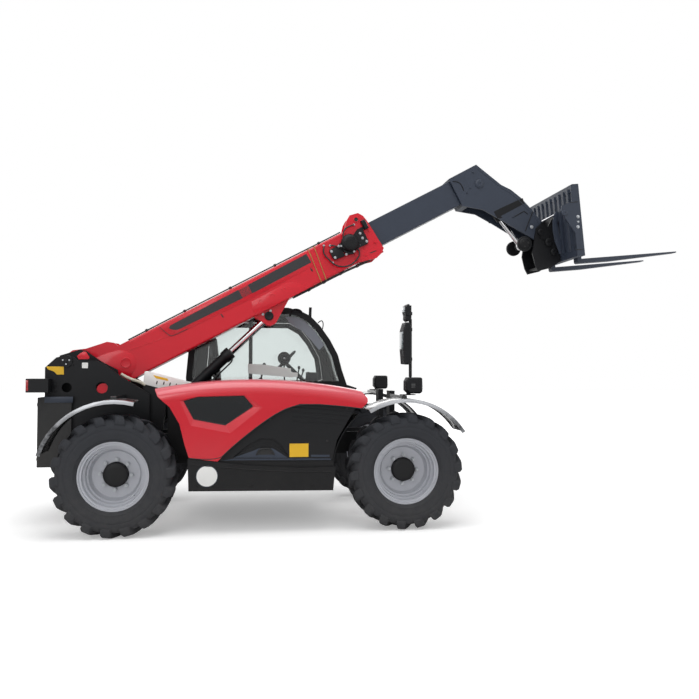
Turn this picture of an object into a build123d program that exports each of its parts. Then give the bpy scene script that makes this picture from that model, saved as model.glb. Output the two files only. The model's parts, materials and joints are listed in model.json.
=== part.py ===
"""Telehandler: a four-wheel-drive lift truck with a telescopic boom and pallet forks.

Millimetres. +X is forward, +Y is the machine's left, +Z is up, and the ground is Z = 0.
The origin is under the middle of the machine's outer box. Outlines seen from the side give X
from the rear axle and Z from the ground. Outlines on the boom give U along it and V square to
it, from its pivot; outlines on the fork frame give F forward and H up from the fork heels.
"""

from build123d import *
from math import cos, hypot, radians, sin
import os

os.makedirs("parts", exist_ok=True)

# ---------------------------------------------------------------- driving dimensions
REAR_AXLE_X = -2664.0       # rear axle, from the middle of the outer box
WHEELBASE = 2850.0
WHEEL_Y = 945.0             # middle of a tyre, from the centre plane
SIDES = (("right", -1), ("left", 1))

TYRE_R = 588.0
TYRE_W = 410.0
BARS = 18                   # tread bars on each side of a tyre
BAR_W = 84.0
BAR_H = 32.0                # height above the carcass
BAR_SLANT = 32.0            # turn from square across, degrees
BAR_MID = 92.0              # from the tyre's middle to where a bar is square to its radius
RIM_R = 332.0               # outside of the rim's flange
RIM_BARREL_R = 300.0        # inside of the rim's barrel
RIM_W = 330.0
RIM_DISC_Y = 915.0          # inner face of the wheel disc
RIM_DISC_T = 22.0
HUB_CAP_R = 118.0
HUB_CAP_Y = 985.0           # outer face of the hub cap

KINGPIN_Y = 810.0
KINGPIN_R = 22.0
KNUCKLE_H = 190.0           # between the axle's two ears
KNUCKLE_BOSS_R = 48.0
HOUSING_R = 92.0            # final drive housing on the knuckle
HOUSING_Y = (850.0, 905.0)
SPINDLE_R = 55.0
AXLE_TUBE_R = 78.0
AXLE_DIFF_R = 108.0
EAR_T = 30.0
EAR_GAP = 5.0               # between an ear and the knuckle's boss
FIT = 0.05                  # radial clearance of a pin in its bore

RAIL_Y = 262.0              # middle of a chassis rail's web
RAIL_T = 26.0
RAIL_Z = (700.0, 920.0)
RAIL_X = (-800.0, WHEELBASE + 380.0)
BELLY_Z = 440.0
BAY_L = 1405.0              # length of the bay that the outlines below are drawn for
BAY_X = (700.0, WHEELBASE - 745.0)      # between the wheel arches
BAY_TOP = 700.0             # floor of the engine bay
LINER_R = 742.0             # front wheel arch's liner, from the wheel's centre
LINER_T = 8.0
SIDE_Y = 1100.0             # outer face of skirt, hood and cab

PIVOT = (-600.0, 1690.0)    # boom pivot: X, Z
PIVOT_PIN_R = 40.0
BOOM_ANGLE = 28.2
BOOM_W = 300.0
BOOM_V = (-465.0, -72.0)    # underside and top of the outer boom
BOOM_START_U = 350.0        # rear end of the outer boom's box
BOOM_WALL = 12.0
BOOM_CORNER = 20.0           # bend radius along the outer boom's four edges
HEAD_U = 3620.0             # front of the boom's head collar
INNER_W = 220.0
INNER_V = (-405.0, -105.0)
INNER_U = (1450.0, 4700.0)
PAD_GAP = 0.5               # inner boom in its wear pads
LIFT_PIN = (2096.0, -534.0)  # lift cylinder's upper pin: U, V
LIFT_BASE = (120.0, 889.0)   # lift cylinder's lower pin: X, Z
LIFT_PIN_R = 34.0
LIFT_BARREL_R = 60.0
LIFT_COLLAR_R = 72.0        # head at the barrel's mouth
LIFT_COLLAR_L = 95.0
LIFT_ROD_R = 40.0
LIFT_BARREL_L = 1320.0
LIFT_ROD_L = 1335.0          # from the upper pin to the piston
LIFT_EYE_R = 58.0
LIFT_EYE_W = 2 * LIFT_COLLAR_R

TOWER_OUT_Y = 400.0         # middle of the outer boom-support plates
TOWER_IN_Y = 222.0          # middle of the inner boom-support plates
TOWER_T = 16.0

NECK_W = 290.0
NECK_WALL = 20.0
TILT_PIVOT = (4740.0, 3215.0)    # carriage pivot: X, Z
TILT_PIN_R = 34.0
TILT_BASE = (3950.0, 3800.0)     # tilt cylinder's barrel pin
TILT_EYE = (4507.0, 3100.0)      # tilt cylinder's rod pin
TILT_BARREL_R = 50.0
TILT_ROD_R = 28.0
TILT_BARREL_L = 500.0
TILT_BASE_PIN_R = 25.0
TILT_ROD_L = 540.0           # from the rod pin to the piston
TILT_EYE_R = 48.0
TILT_EYE_W = 80.0
ARM_T = 20.0                # carriage arms and side plates
RUN_GAP = 6.0               # beside moving plates

HEEL = (5050.0, 2850.0)     # fork heels, underside: X, Z
FORK_TILT = 5.6
FORK_L = 1200.0
FORK_W = 100.0
FORK_T = 50.0
FORK_TIP_T = 14.0
FORK_Y = 350.0
FRAME_W = 1200.0
FRAME_H = 880.0
FRAME_D = 95.0
FRAME_CHEEK_BACK = 4.0      # side plates of the fork frame, behind its bars' front faces
FRAME_CHEEK_T = 16.0

GUARD_R = 716.0             # inside of a mudguard, from the wheel's centre
GUARD_T = 12.0
GUARD_Y = (720.0, 1130.0)

CAB_Y = (220.0, 1100.0)
CAB_WALL = 50.0
CAB_FLOOR = 925.0
CAB_ROOF = 2335.0
ROOF_T = 55.0
SILL_Z = 1470.0
CAB_H = 865.0               # sill to roof in the outlines below
GLASS_T = 8.0
DOOR_GAP = 6.0
HINGE_R = 12.0

HOOD_IN_Y = -425.0
HOOD_T = 25.0
HOOD_ROUND = 130.0          # round along the hood's upper outer edge
RECESS = 17.0               # depth of the frame round the hood's window
HOOD_WALL_Y = -415.0        # wall between engine bay and boom
HOOD_REAR_X = 430.0
HOOD_HINGE = (-420.0, 1430.0)    # hood's hinge line: Y, Z
HOOD_HINGE_X = (BAY_X[0] + 250, BAY_X[1] - 305)
HOOD_PIN_R = 6.0

HINGE_PIN_R = 6.0
STEER_R = 180.0
GUARD_TOP = TYRE_R + GUARD_R + GUARD_T


def side(y):
    """Side plane at Y = y, drawn in X from the rear axle and Z."""
    return Plane(origin=(REAR_AXLE_X, y, 0), x_dir=(1, 0, 0), z_dir=(0, -1, 0))


def tilted(x, z, angle, y):
    """Side plane at Y = y with its origin at (x, z), turned nose-up by angle."""
    turn = radians(angle)
    return Plane(
        origin=(REAR_AXLE_X + x, y, z),
        x_dir=(cos(turn), 0, sin(turn)),
        z_dir=(0, -1, 0),
    )


def boom_side(y):
    """Boom plane at Y = y, drawn in U and V."""
    return tilted(*PIVOT, BOOM_ANGLE, y)


def fork_side(y):
    """Fork frame plane at Y = y, drawn in F and H."""
    return tilted(*HEEL, FORK_TILT, y)


def on_boom(u, v):
    """X and Z of a point given on the boom."""
    turn = radians(BOOM_ANGLE)
    return (
        PIVOT[0] + u * cos(turn) - v * sin(turn),
        PIVOT[1] + u * sin(turn) + v * cos(turn),
    )


def on_bay(points):
    """Side outline drawn for a bay BAY_L long and a cab CAB_H high, fitted to the real ones."""
    stretch = (BAY_X[1] - BAY_X[0]) / BAY_L
    rise = (CAB_ROOF - SILL_Z) / CAB_H
    return [
        (BAY_X[0] + (x - BAY_X[0]) * stretch, z if z < SILL_Z else SILL_Z + (z - SILL_Z) * rise)
        for x, z in points
    ]


def bay_x(x):
    """X of a place drawn for that bay."""
    return on_bay([(x, 0)])[0][0]


def outline(plane, points):
    """Closed polygon on a plane."""
    with BuildSketch(plane) as sketch:
        with BuildLine():
            Polyline(*points, close=True)
        make_face()
    return sketch.sketch


def plate(plane_at, y, thickness, points):
    """Plate centred on Y = y, from its side outline."""
    with BuildPart() as made:
        extrude(outline(plane_at(y), points), amount=thickness / 2, both=True)
    return made.part


def block(x_span, y_span, z_span):
    """Box between two stations each way, with X from the rear axle."""
    low = (REAR_AXLE_X + min(x_span), min(y_span), min(z_span))
    size = [abs(span[1] - span[0]) for span in (x_span, y_span, z_span)]
    with BuildPart(Plane(origin=low)) as made:
        Box(*size, align=(Align.MIN, Align.MIN, Align.MIN))
    return made.part


def cross_bar(x, z, radius, y_span):
    """Round bar along Y at X = x from the rear axle."""
    with BuildPart() as made:
        with BuildSketch(Plane(origin=(REAR_AXLE_X + x, max(y_span), z), z_dir=(0, -1, 0))):
            Circle(radius)
        extrude(amount=abs(y_span[1] - y_span[0]))
    return made.part


def strut(start, end, radius, y=0.0, from_start=0.0, length=None):
    """Round bar in a side plane along the line from start to end."""
    run = hypot(end[0] - start[0], end[1] - start[1])
    way = ((end[0] - start[0]) / run, (end[1] - start[1]) / run)
    origin = (
        REAR_AXLE_X + start[0] + way[0] * from_start,
        y,
        start[1] + way[1] * from_start,
    )
    with BuildPart() as made:
        with BuildSketch(Plane(origin=origin, x_dir=(0, 1, 0), z_dir=(way[0], 0, way[1]))):
            Circle(radius)
        extrude(amount=run - from_start if length is None else length)
    return made.part


def save(piece, name):
    """Label a finished piece and write its file."""
    piece.label = name
    export_step(piece, f"parts/{name}.step")


AXLES = (("rear", 0.0), ("front", WHEELBASE))      # name, X from the rear axle

# ---------------------------------------------------------------- wheels
# Carcass of a tyre under its bars: distance from the tyre's middle, radius.
CARCASS = (
    (RIM_W / 2, RIM_R + 9), (TYRE_W / 2 - 3, RIM_R + 108), (TYRE_W / 2 - 37, TYRE_R - BAR_H),
)
# Section of a tread bar: distance from the tyre's middle, height above the wheel's centre.
BAR = (
    (-20, TYRE_R - 58), (-20, TYRE_R - 11), (TYRE_W / 2 + 35, TYRE_R - 11),
    (TYRE_W / 2 + 35, TYRE_R - 108), (TYRE_W / 2 - 45, TYRE_R - 108),
)
# Steps of a rim's dish: depth from its outer edge, radius.
RIM_STEPS = (
    (0, 317), (14, 311), (14, 294), (62, 288), (62, 271), (112, 265), (112, 249), (150, 242),
    (173, 226),
)


def tread_bar(sign):
    """Slanted tread bar at the top of a wheel that stands at the origin, axle along Y."""
    turn = radians(BAR_SLANT)
    along = (sin(turn), sign * cos(turn), 0)
    with BuildPart() as made:
        with BuildSketch(Plane(origin=(0, sign * BAR_MID, 0), x_dir=along,
                               z_dir=(along[1], -along[0], 0))):
            with BuildLine():
                Polyline(*[((y - BAR_MID) / cos(turn), height) for y, height in BAR], close=True)
            make_face()
        extrude(amount=BAR_W / 2, both=True)
        Box(4 * RIM_R, TYRE_W, 4 * RIM_R, mode=Mode.INTERSECT)
    return made.part


def lugged_tyre():
    """Tyre at the origin, its axle along Y."""
    stations = [(-y, r) for y, r in CARCASS] + [(y, r) for y, r in reversed(CARCASS)]
    pitch = 360 / BARS
    with BuildPart() as made:
        for near, far in zip(stations, stations[1:]):
            for y, radius in (near, far):
                with BuildSketch(Plane(origin=(0, y, 0), z_dir=(0, 1, 0))):
                    RegularPolygon(radius, BARS, rotation=pitch / 4)
            loft(ruled=True)
        for sign in (-1, 1):
            bar = tread_bar(sign)
            first = pitch * (sign + 1) / 4
            add([bar.rotate(Axis.Y, first + pitch * step) for step in range(BARS)])
        Cylinder(RIM_R, 2 * TYRE_W, rotation=(90, 0, 0), mode=Mode.SUBTRACT)
    return made.part


TYRE = lugged_tyre()
for end, axle_x in AXLES:
    for hand, sign in SIDES:
        wheel_plane = Plane(
            origin=(REAR_AXLE_X + axle_x, 0, TYRE_R), x_dir=(0, sign, 0), z_dir=(-sign, 0, 0)
        )
        wheel_axis = Axis((REAR_AXLE_X + axle_x, 0, TYRE_R), (0, 1, 0))
        rim_in = WHEEL_Y - RIM_W / 2
        rim_out = WHEEL_Y + RIM_W / 2

        with BuildPart() as tyre:
            add(TYRE.moved(Location((REAR_AXLE_X + axle_x, sign * WHEEL_Y, TYRE_R))))
        save(tyre.part, f"tyre_{end}_{hand}")

        # Section in Y outwards and height above the wheel's centre.
        with BuildPart() as rim:
            with BuildSketch(wheel_plane):
                with BuildLine():
                    Polyline(
                        (rim_in, RIM_R),
                        (rim_out, RIM_R),
                        *[(rim_out - depth, radius) for depth, radius in RIM_STEPS],
                        (RIM_DISC_Y + RIM_DISC_T, HUB_CAP_R),
                        (HUB_CAP_Y - 16, HUB_CAP_R - 5),
                        (HUB_CAP_Y, HUB_CAP_R - 28),
                        (HUB_CAP_Y, 0),
                        (RIM_DISC_Y + RIM_DISC_T, 0),
                        (RIM_DISC_Y + RIM_DISC_T, SPINDLE_R + FIT),
                        (RIM_DISC_Y, SPINDLE_R + FIT),
                        (RIM_DISC_Y, RIM_BARREL_R - 60),
                        (RIM_DISC_Y + 20, RIM_BARREL_R),
                        (rim_in, RIM_BARREL_R + 4),
                        close=True,
                    )
                make_face()
            revolve(axis=wheel_axis)
        save(rim.part, f"rim_{end}_{hand}")

# ---------------------------------------------------------------- knuckles and axles
for end, axle_x in AXLES:
    kingpin_x = REAR_AXLE_X + axle_x
    for hand, sign in SIDES:
        with BuildPart() as knuckle:
            with Locations((kingpin_x, sign * KINGPIN_Y, TYRE_R)):
                Cylinder(KNUCKLE_BOSS_R, KNUCKLE_H - 2 * EAR_GAP)
            add(cross_bar(axle_x, TYRE_R, HOUSING_R * 0.72,
                          (sign * KINGPIN_Y, sign * (HOUSING_Y[0] + 2))))
            add(cross_bar(axle_x, TYRE_R, HOUSING_R, (sign * HOUSING_Y[0], sign * HOUSING_Y[1])))
            add(cross_bar(axle_x, TYRE_R, SPINDLE_R,
                          (sign * HOUSING_Y[1], sign * (RIM_DISC_Y + RIM_DISC_T - 1))))
            with Locations((kingpin_x, sign * KINGPIN_Y, TYRE_R)):
                Cylinder(KINGPIN_R + FIT, KNUCKLE_H, mode=Mode.SUBTRACT)
        save(knuckle.part, f"knuckle_{end}_{hand}")

    with BuildPart() as axle:
        add(cross_bar(axle_x, TYRE_R, AXLE_TUBE_R, (-KINGPIN_Y + 75, KINGPIN_Y - 75)))
        with Locations((kingpin_x, 0, TYRE_R)):
            Sphere(AXLE_DIFF_R)
        for hand, sign in SIDES:
            add(block((axle_x - 90, axle_x + 90),
                      (sign * (RAIL_Y - RAIL_T), sign * (RAIL_Y + RAIL_T)),
                      (TYRE_R + AXLE_TUBE_R - 30, RAIL_Z[0])))
            add(block((axle_x - 60, axle_x + 60), (sign * (KINGPIN_Y - 145), sign * (KINGPIN_Y - 75)),
                      (TYRE_R - KNUCKLE_H / 2 - EAR_T, TYRE_R + KNUCKLE_H / 2 + EAR_T)))
            for level in (-1, 1):
                ear_z = TYRE_R + level * (KNUCKLE_H / 2 + EAR_T / 2)
                add(block((axle_x - 45, axle_x + 45),
                          (sign * (KINGPIN_Y - 100), sign * (KINGPIN_Y + 34)),
                          (ear_z - EAR_T / 2, ear_z + EAR_T / 2)))
            with Locations((kingpin_x, sign * KINGPIN_Y, TYRE_R)):
                Cylinder(KINGPIN_R, KNUCKLE_H + 2)
    save(axle.part, f"axle_{end}")

# ---------------------------------------------------------------- chassis
LUG_X = (190.0, 330.0)      # foot of the lift cylinder's ears
LUG_Z = (600.0, 690.0)
with BuildPart() as chassis:
    for hand, sign in SIDES:
        web = (sign * (RAIL_Y - RAIL_T / 2), sign * (RAIL_Y + RAIL_T / 2))
        add(block(RAIL_X, web, RAIL_Z))
        add(block((BAY_X[0] - 40, BAY_X[1] + 40), web, (BELLY_Z, RAIL_Z[1])))
        add(block((LUG_X[0], BAY_X[0]), web, (LUG_Z[0], RAIL_Z[1])))
        post = (sign * (RAIL_Y - RAIL_T / 2), sign * (TOWER_OUT_Y + TOWER_T / 2))
        add(block((WHEELBASE - 30, WHEELBASE + 30), post, (RAIL_Z[1] - 60, GUARD_TOP + 60)))
    inner = (-RAIL_Y, RAIL_Y)
    add(block((BAY_X[0] - 40, BAY_X[1] + 40), inner, (BELLY_Z, BELLY_Z + 16)))
    add(block((RAIL_X[1] - 30, RAIL_X[1]), inner, (RAIL_Z[0] - 160, RAIL_Z[1])))
    add(block((RAIL_X[0], RAIL_X[0] + 20), inner, RAIL_Z))
    add(block(LUG_X, inner, LUG_Z))
    add(block((1300, 1340), inner, (BELLY_Z, RAIL_Z[1])))
    add(block((HOOD_REAR_X, BAY_X[1] + 235), (HOOD_WALL_Y, HOOD_WALL_Y + 20),
              (BAY_TOP, HOOD_HINGE[1] - 50)))
    for brace_x in (BAY_X[0], BAY_X[1] - 40):
        add(block((brace_x, brace_x + 40), (HOOD_WALL_Y, -RAIL_Y), (BAY_TOP, RAIL_Z[1])))
    for hinge_x in HOOD_HINGE_X:
        for step in (-1, 1):
            lug_x = hinge_x + step * 35
            add(block((lug_x - 14, lug_x + 14), (HOOD_HINGE[0] - 9, HOOD_WALL_Y + 20),
                      (HOOD_HINGE[1] - 55, HOOD_HINGE[1] + 9)))
        with BuildPart(mode=Mode.PRIVATE) as hinge_pin:
            with BuildSketch(Plane(origin=(REAR_AXLE_X + hinge_x - 45, *HOOD_HINGE),
                                   z_dir=(1, 0, 0))):
                Circle(HOOD_PIN_R)
            extrude(amount=90)
        add(hinge_pin.part)
    # Ears of the lift cylinder's lower pin.
    for sign in (-1, 1):
        add(plate(side, sign * (LIFT_COLLAR_R + RUN_GAP + ARM_T / 2), ARM_T, [
            (LUG_X[0], LUG_Z[0]),
            (LUG_X[1], LUG_Z[0]),
            (LUG_X[1], LUG_Z[1]),
            (LIFT_BASE[0] + 62, LIFT_BASE[1] + 50),
            (LIFT_BASE[0] - 62, LIFT_BASE[1] + 50),
            (LIFT_BASE[0] - 70, LIFT_BASE[1] - 70),
        ]))
        ear_out = LIFT_COLLAR_R + RUN_GAP + ARM_T
        add(cross_bar(*LIFT_BASE, 40, (sign * (ear_out - 2), sign * (ear_out + 14))))
save(chassis.part, "chassis_frame")

# ---------------------------------------------------------------- boom support and counterweight
TOWER_OUTER = [
    (-810, 760), (-810, 1625), (-700, 1729), (-606, 1749), (-536, 1739), (-486, 1697),
    (-306, 1697), (-216, 1655), (-43, 1529), (243, 1348), (243, 930), (120, 760),
]
TOWER_INNER = [
    (-795, 925), (-795, 1300), (-709, 1752), (-506, 1816), (-445, 1806), (-280, 1688), (-114, 1602),
    (-70, 1400), (-70, 925),
]
with BuildPart() as tower:
    for sign in (-1, 1):
        add(plate(side, sign * TOWER_OUT_Y, TOWER_T, TOWER_OUTER))
        add(plate(side, sign * TOWER_IN_Y, TOWER_T, TOWER_INNER))
        web = (sign * TOWER_IN_Y, sign * TOWER_OUT_Y)
        add(block((-800, -780), web, (930, 1600)))
        add(block((-120, -60), web, (RAIL_Z[1], 1340)))
        add(block((-760, -100), web, (RAIL_Z[1], RAIL_Z[1] + 12)))
    add(block((-795, -775), (-TOWER_IN_Y, TOWER_IN_Y), (930, 1400)))
    # Lightening holes: X, Z, radius.
    for hole_x, hole_z, hole_r in ((-594, 1417, 50), (-244, 1415, 60)):
        for sign in (-1, 1):
            near = (sign * (TOWER_OUT_Y - TOWER_T), sign * (TOWER_OUT_Y + TOWER_T))
            add(cross_bar(hole_x, hole_z, hole_r, near), mode=Mode.SUBTRACT)
    add(cross_bar(*PIVOT, PIVOT_PIN_R, (-TOWER_OUT_Y, TOWER_OUT_Y)))
    for sign in (-1, 1):
        face = TOWER_OUT_Y + TOWER_T / 2
        add(cross_bar(*PIVOT, 62, (sign * (face - 2), sign * (face + 14))))
save(tower.part, "boom_support")

with BuildPart() as weight:
    add(block((-870, -810), (-450, 450), (600, 1316)))
    for sign in (-1, 1):
        add(block((-815, -533), (sign * (TOWER_OUT_Y + TOWER_T / 2), sign * 450), (600, 1316)))
save(weight.part, "counterweight")

# ---------------------------------------------------------------- outer boom
BOOM_HALF = BOOM_W / 2
CAVITY = (BOOM_W / 2 - BOOM_WALL, BOOM_V[0] + BOOM_WALL, BOOM_V[1] - BOOM_WALL)
FOOT = [
    (-95, -60), (-60, 85), (60, 105), (190, 56), (417, 20), (476, -24), (498, BOOM_V[1]),
    (620, BOOM_V[1]), (620, BOOM_V[0]), (BOOM_START_U, BOOM_V[0]), (120, -230), (-40, -110),
]
HEAD = [
    (HEAD_U - 340, BOOM_V[0] + 1), (HEAD_U - 128, BOOM_V[0] - 48), (HEAD_U - 48, BOOM_V[0] - 24),
    (HEAD_U, BOOM_V[0] + 16), (HEAD_U - 28, BOOM_V[1] - 14), (HEAD_U - 43, BOOM_V[1] + 57),
    (HEAD_U - 80, BOOM_V[1] + 112), (HEAD_U - 180, BOOM_V[1] + 130), (HEAD_U - 240, BOOM_V[1] + 92),
    (HEAD_U - 320, BOOM_V[1]),
]
LUG = [(1940, -460), (2030, -610), (2062, -638), (2130, -638), (2400, -460)]
EAR_HOLE = (HEAD_U - 135, BOOM_V[1] + 54, 23)     # lifting eye in the head's plates: U, V, radius


def along_boom(u_span, y_span, v_span):
    """Box on the boom between two stations each way."""
    corner = boom_side(max(y_span))
    with BuildPart() as made:
        with BuildSketch(corner):
            with Locations(((u_span[0] + u_span[1]) / 2, (v_span[0] + v_span[1]) / 2)):
                Rectangle(u_span[1] - u_span[0], v_span[1] - v_span[0])
        extrude(amount=max(y_span) - min(y_span))
    return made.part


with BuildPart() as boom:
    add(along_boom((BOOM_START_U, HEAD_U - 30), (-BOOM_HALF, BOOM_HALF), BOOM_V))
    fillet([edge for edge in boom.edges() if edge.length > HEAD_U / 2], BOOM_CORNER)
    add(along_boom((BOOM_START_U - 1, HEAD_U), (-CAVITY[0], CAVITY[0]), CAVITY[1:]),
        mode=Mode.SUBTRACT)
    # Wear pads round the inner boom.
    pads = (HEAD_U - 150, HEAD_U - 40)
    add(along_boom(pads, (-CAVITY[0], CAVITY[0]), CAVITY[1:]))
    add(along_boom(pads, (-INNER_W / 2 - PAD_GAP, INNER_W / 2 + PAD_GAP),
                   (INNER_V[0] - PAD_GAP, INNER_V[1] + PAD_GAP)), mode=Mode.SUBTRACT)
    for sign in (-1, 1):
        add(plate(boom_side, sign * (BOOM_HALF - 12), 24, FOOT))
        add(plate(boom_side, sign * (BOOM_HALF + 8), 18, HEAD))
        add(cross_bar(*PIVOT, 88, (sign * (BOOM_HALF - 14), sign * (TOWER_IN_Y - TOWER_T / 2 - 6))))
        ear_y = LIFT_COLLAR_R + RUN_GAP + ARM_T / 2
        add(plate(boom_side, sign * ear_y, ARM_T, LUG))
    add(along_boom((HEAD_U - 230, HEAD_U - 60), (-BOOM_HALF, BOOM_HALF),
                   (BOOM_V[1] - 2, BOOM_V[1] + 30)))
    add(along_boom((HEAD_U - 240, HEAD_U - 20), (-BOOM_HALF, BOOM_HALF),
                   (BOOM_V[0] - 24, BOOM_V[0] + 2)))
    add(along_boom((440, 470), (-BOOM_HALF + 10, BOOM_HALF - 10), (-440, BOOM_V[1])))
    eye_at = on_boom(*EAR_HOLE[:2])
    add(cross_bar(*eye_at, EAR_HOLE[2], (-BOOM_W, BOOM_W)), mode=Mode.SUBTRACT)
    lift_pin_half = LIFT_COLLAR_R + RUN_GAP + ARM_T + 12
    add(cross_bar(*on_boom(*LIFT_PIN), LIFT_PIN_R, (-lift_pin_half, lift_pin_half)))
    add(cross_bar(*PIVOT, PIVOT_PIN_R + FIT, (-TOWER_OUT_Y, TOWER_OUT_Y)), mode=Mode.SUBTRACT)
save(boom.part, "boom_outer")

# Motor under its domed cover on the right of the boom's head, with its bracket and work light.
HEAD_FACE_Y = -BOOM_HALF - 17
# Outline on the boom from the head's front, and how far it stands out.
HEAD_GEAR = (
    (((-479, -188), (-445, -248), (-423, -330), (-353, -352), (-330, -338), (-236, -318),
      (-236, -170), (-300, -150), (-445, -180)), 34),
    (((-455, -200), (-423, -262), (-375, -255), (-360, -190)), 62),
    (((-262, -318), (-149, -325), (-125, -290), (-125, -149), (-176, -120), (-262, -166)), 22),
)
COVER = (HEAD_U - 332, -226, 98)                  # middle of the motor's cover: U, V, radius
COVER_OUT = 88.0
LIGHT = ((HEAD_U - 106, HEAD_U - 58), (-168, -60))    # work light: U and V
with BuildPart() as head_gear:
    for points, out in HEAD_GEAR:
        with BuildSketch(boom_side(HEAD_FACE_Y)):
            with BuildLine():
                Polyline(*[(HEAD_U + u, v) for u, v in points], close=True)
            make_face()
        extrude(amount=out)
    with BuildPart(mode=Mode.PRIVATE) as cover:
        with BuildSketch(boom_side(HEAD_FACE_Y)):
            with Locations(COVER[:2]):
                Circle(COVER[2])
        extrude(amount=COVER_OUT)
        fillet(cover.faces().sort_by(Axis.Y)[0].edges(), radius=COVER_OUT * 0.55)
    add(cover.part)
    with BuildPart(mode=Mode.PRIVATE) as work_light:
        add(along_boom(LIGHT[0], (HEAD_FACE_Y - 58, HEAD_FACE_Y), LIGHT[1]))
        fillet(work_light.faces().sort_by(Axis.Y)[0].edges(), radius=16)
    add(work_light.part)
    add(along_boom((LIGHT[0][0] - 50, LIGHT[0][0] + 10), (HEAD_FACE_Y - 14, HEAD_FACE_Y),
                   (LIGHT[1][0] + 10, LIGHT[1][0] + 44)))
save(head_gear.part, "boom_valve_block")

# ---------------------------------------------------------------- inner boom and gooseneck
with BuildPart() as inner_boom:
    half = INNER_W / 2
    add(along_boom(INNER_U, (-half, half), INNER_V))
    add(along_boom((INNER_U[0] - 1, INNER_U[1] - 20), (-half + 10, half - 10),
                   (INNER_V[0] + 10, INNER_V[1] - 10)), mode=Mode.SUBTRACT)
save(inner_boom.part, "boom_inner")

NECK = [
    on_boom(INNER_U[1], -80), (3911, 4024), (4216, 3798), (4339, 3743), (4463, 3652),
    (4611, 3501), (4780, 3300), (4832, 3225), (4800, 3140), (4740, 3118), (4633, 3156),
    (4459, 3246), (4213, 3382), (3992, 3494), on_boom(INNER_U[1], -435),
]
NECK_INSIDE = [
    (3800, 3650), (3840, 3950), (3912, 3995), (4208, 3774), (4330, 3718), (4450, 3632),
    (4592, 3490), (4680, 3560), (4900, 3300), (4900, 2950), (3820, 3400),
]
with BuildPart() as neck:
    add(plate(side, 0, NECK_W, NECK))
    add(plate(side, 0, NECK_W - 2 * NECK_WALL, NECK_INSIDE), mode=Mode.SUBTRACT)
    neck_half = NECK_W / 2
    add(cross_bar(*TILT_BASE, TILT_BASE_PIN_R, (-neck_half, neck_half)))
    for sign in (-1, 1):
        add(cross_bar(*TILT_BASE, 52, (sign * (neck_half - 2), sign * (neck_half + 10))))
    add(cross_bar(*TILT_PIVOT, TILT_PIN_R + FIT, (-NECK_W, NECK_W)), mode=Mode.SUBTRACT)
save(neck.part, "gooseneck")


# ---------------------------------------------------------------- cylinders
def eye(centre, radius, width, hole):
    """Cylinder end eye round a pin along Y."""
    with BuildPart() as made:
        add(cross_bar(*centre, radius, (-width / 2, width / 2)))
        if hole:
            add(cross_bar(*centre, hole, (-width, width)), mode=Mode.SUBTRACT)
    return made.part


LIFT_TOP = on_boom(*LIFT_PIN)
with BuildPart() as lift_rod:
    add(strut(LIFT_TOP, LIFT_BASE, LIFT_ROD_R, from_start=LIFT_EYE_R - 12,
              length=LIFT_ROD_L - LIFT_EYE_R + 12))
    add(eye(LIFT_TOP, LIFT_EYE_R, LIFT_EYE_W, None))
    add(cross_bar(*LIFT_TOP, LIFT_PIN_R + FIT, (-LIFT_EYE_W, LIFT_EYE_W)), mode=Mode.SUBTRACT)
save(lift_rod.part, "lift_rod")

with BuildPart() as lift_barrel:
    add(strut(LIFT_BASE, LIFT_TOP, LIFT_BARREL_R, from_start=LIFT_EYE_R - 14,
              length=LIFT_BARREL_L - LIFT_EYE_R + 14))
    add(eye(LIFT_BASE, LIFT_EYE_R, LIFT_EYE_W, None))
    add(strut(LIFT_BASE, LIFT_TOP, LIFT_COLLAR_R, from_start=LIFT_BARREL_L - LIFT_COLLAR_L,
              length=LIFT_COLLAR_L))
    add(strut(LIFT_BASE, LIFT_TOP, LIFT_ROD_R + FIT, from_start=LIFT_EYE_R + 14,
              length=LIFT_BARREL_L), mode=Mode.SUBTRACT)
save(lift_barrel.part, "lift_barrel")

with BuildPart() as tilt_barrel:
    add(strut(TILT_BASE, TILT_EYE, TILT_BARREL_R, from_start=TILT_EYE_R - 14,
              length=TILT_BARREL_L - TILT_EYE_R + 14))
    add(eye(TILT_BASE, TILT_EYE_R, TILT_EYE_W, None))
    add(cross_bar(*TILT_BASE, TILT_BASE_PIN_R + FIT, (-TILT_EYE_W, TILT_EYE_W)),
        mode=Mode.SUBTRACT)
    add(strut(TILT_BASE, TILT_EYE, TILT_ROD_R + FIT, from_start=TILT_EYE_R + 30,
              length=TILT_BARREL_L), mode=Mode.SUBTRACT)
save(tilt_barrel.part, "tilt_barrel")

with BuildPart() as tilt_rod:
    add(strut(TILT_EYE, TILT_BASE, TILT_ROD_R, from_start=TILT_EYE_R - 10,
              length=TILT_ROD_L - TILT_EYE_R + 10))
    add(eye(TILT_EYE, TILT_EYE_R, TILT_EYE_W, None))
save(tilt_rod.part, "tilt_rod")

# ---------------------------------------------------------------- tool carrier, fork frame, forks
HITCH = [
    (-FRAME_D, 65), (-FRAME_D, 650), (-140, 610), (-215, 490), (-282, 545), (-365, 478),
    (-441, 188), (-419, 43), (-389, -30), (-236, -7), (-141, 44),
]
PLATE_Y = NECK_W / 2 + RUN_GAP + ARM_T / 2
ARM_Y = TILT_EYE_W / 2 + RUN_GAP + ARM_T / 2


def on_frame(x, z):
    """F and H of a point given by X and Z."""
    turn = radians(FORK_TILT)
    gone = (x - HEEL[0], z - HEEL[1])
    return (gone[0] * cos(turn) + gone[1] * sin(turn), gone[1] * cos(turn) - gone[0] * sin(turn))


def along_frame(f_span, y_span, h_span):
    """Box on the fork frame between two stations each way."""
    with BuildPart() as made:
        with BuildSketch(fork_side(max(y_span))):
            with Locations(((f_span[0] + f_span[1]) / 2, (h_span[0] + h_span[1]) / 2)):
                Rectangle(f_span[1] - f_span[0], h_span[1] - h_span[0])
        extrude(amount=max(y_span) - min(y_span))
    return made.part


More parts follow.
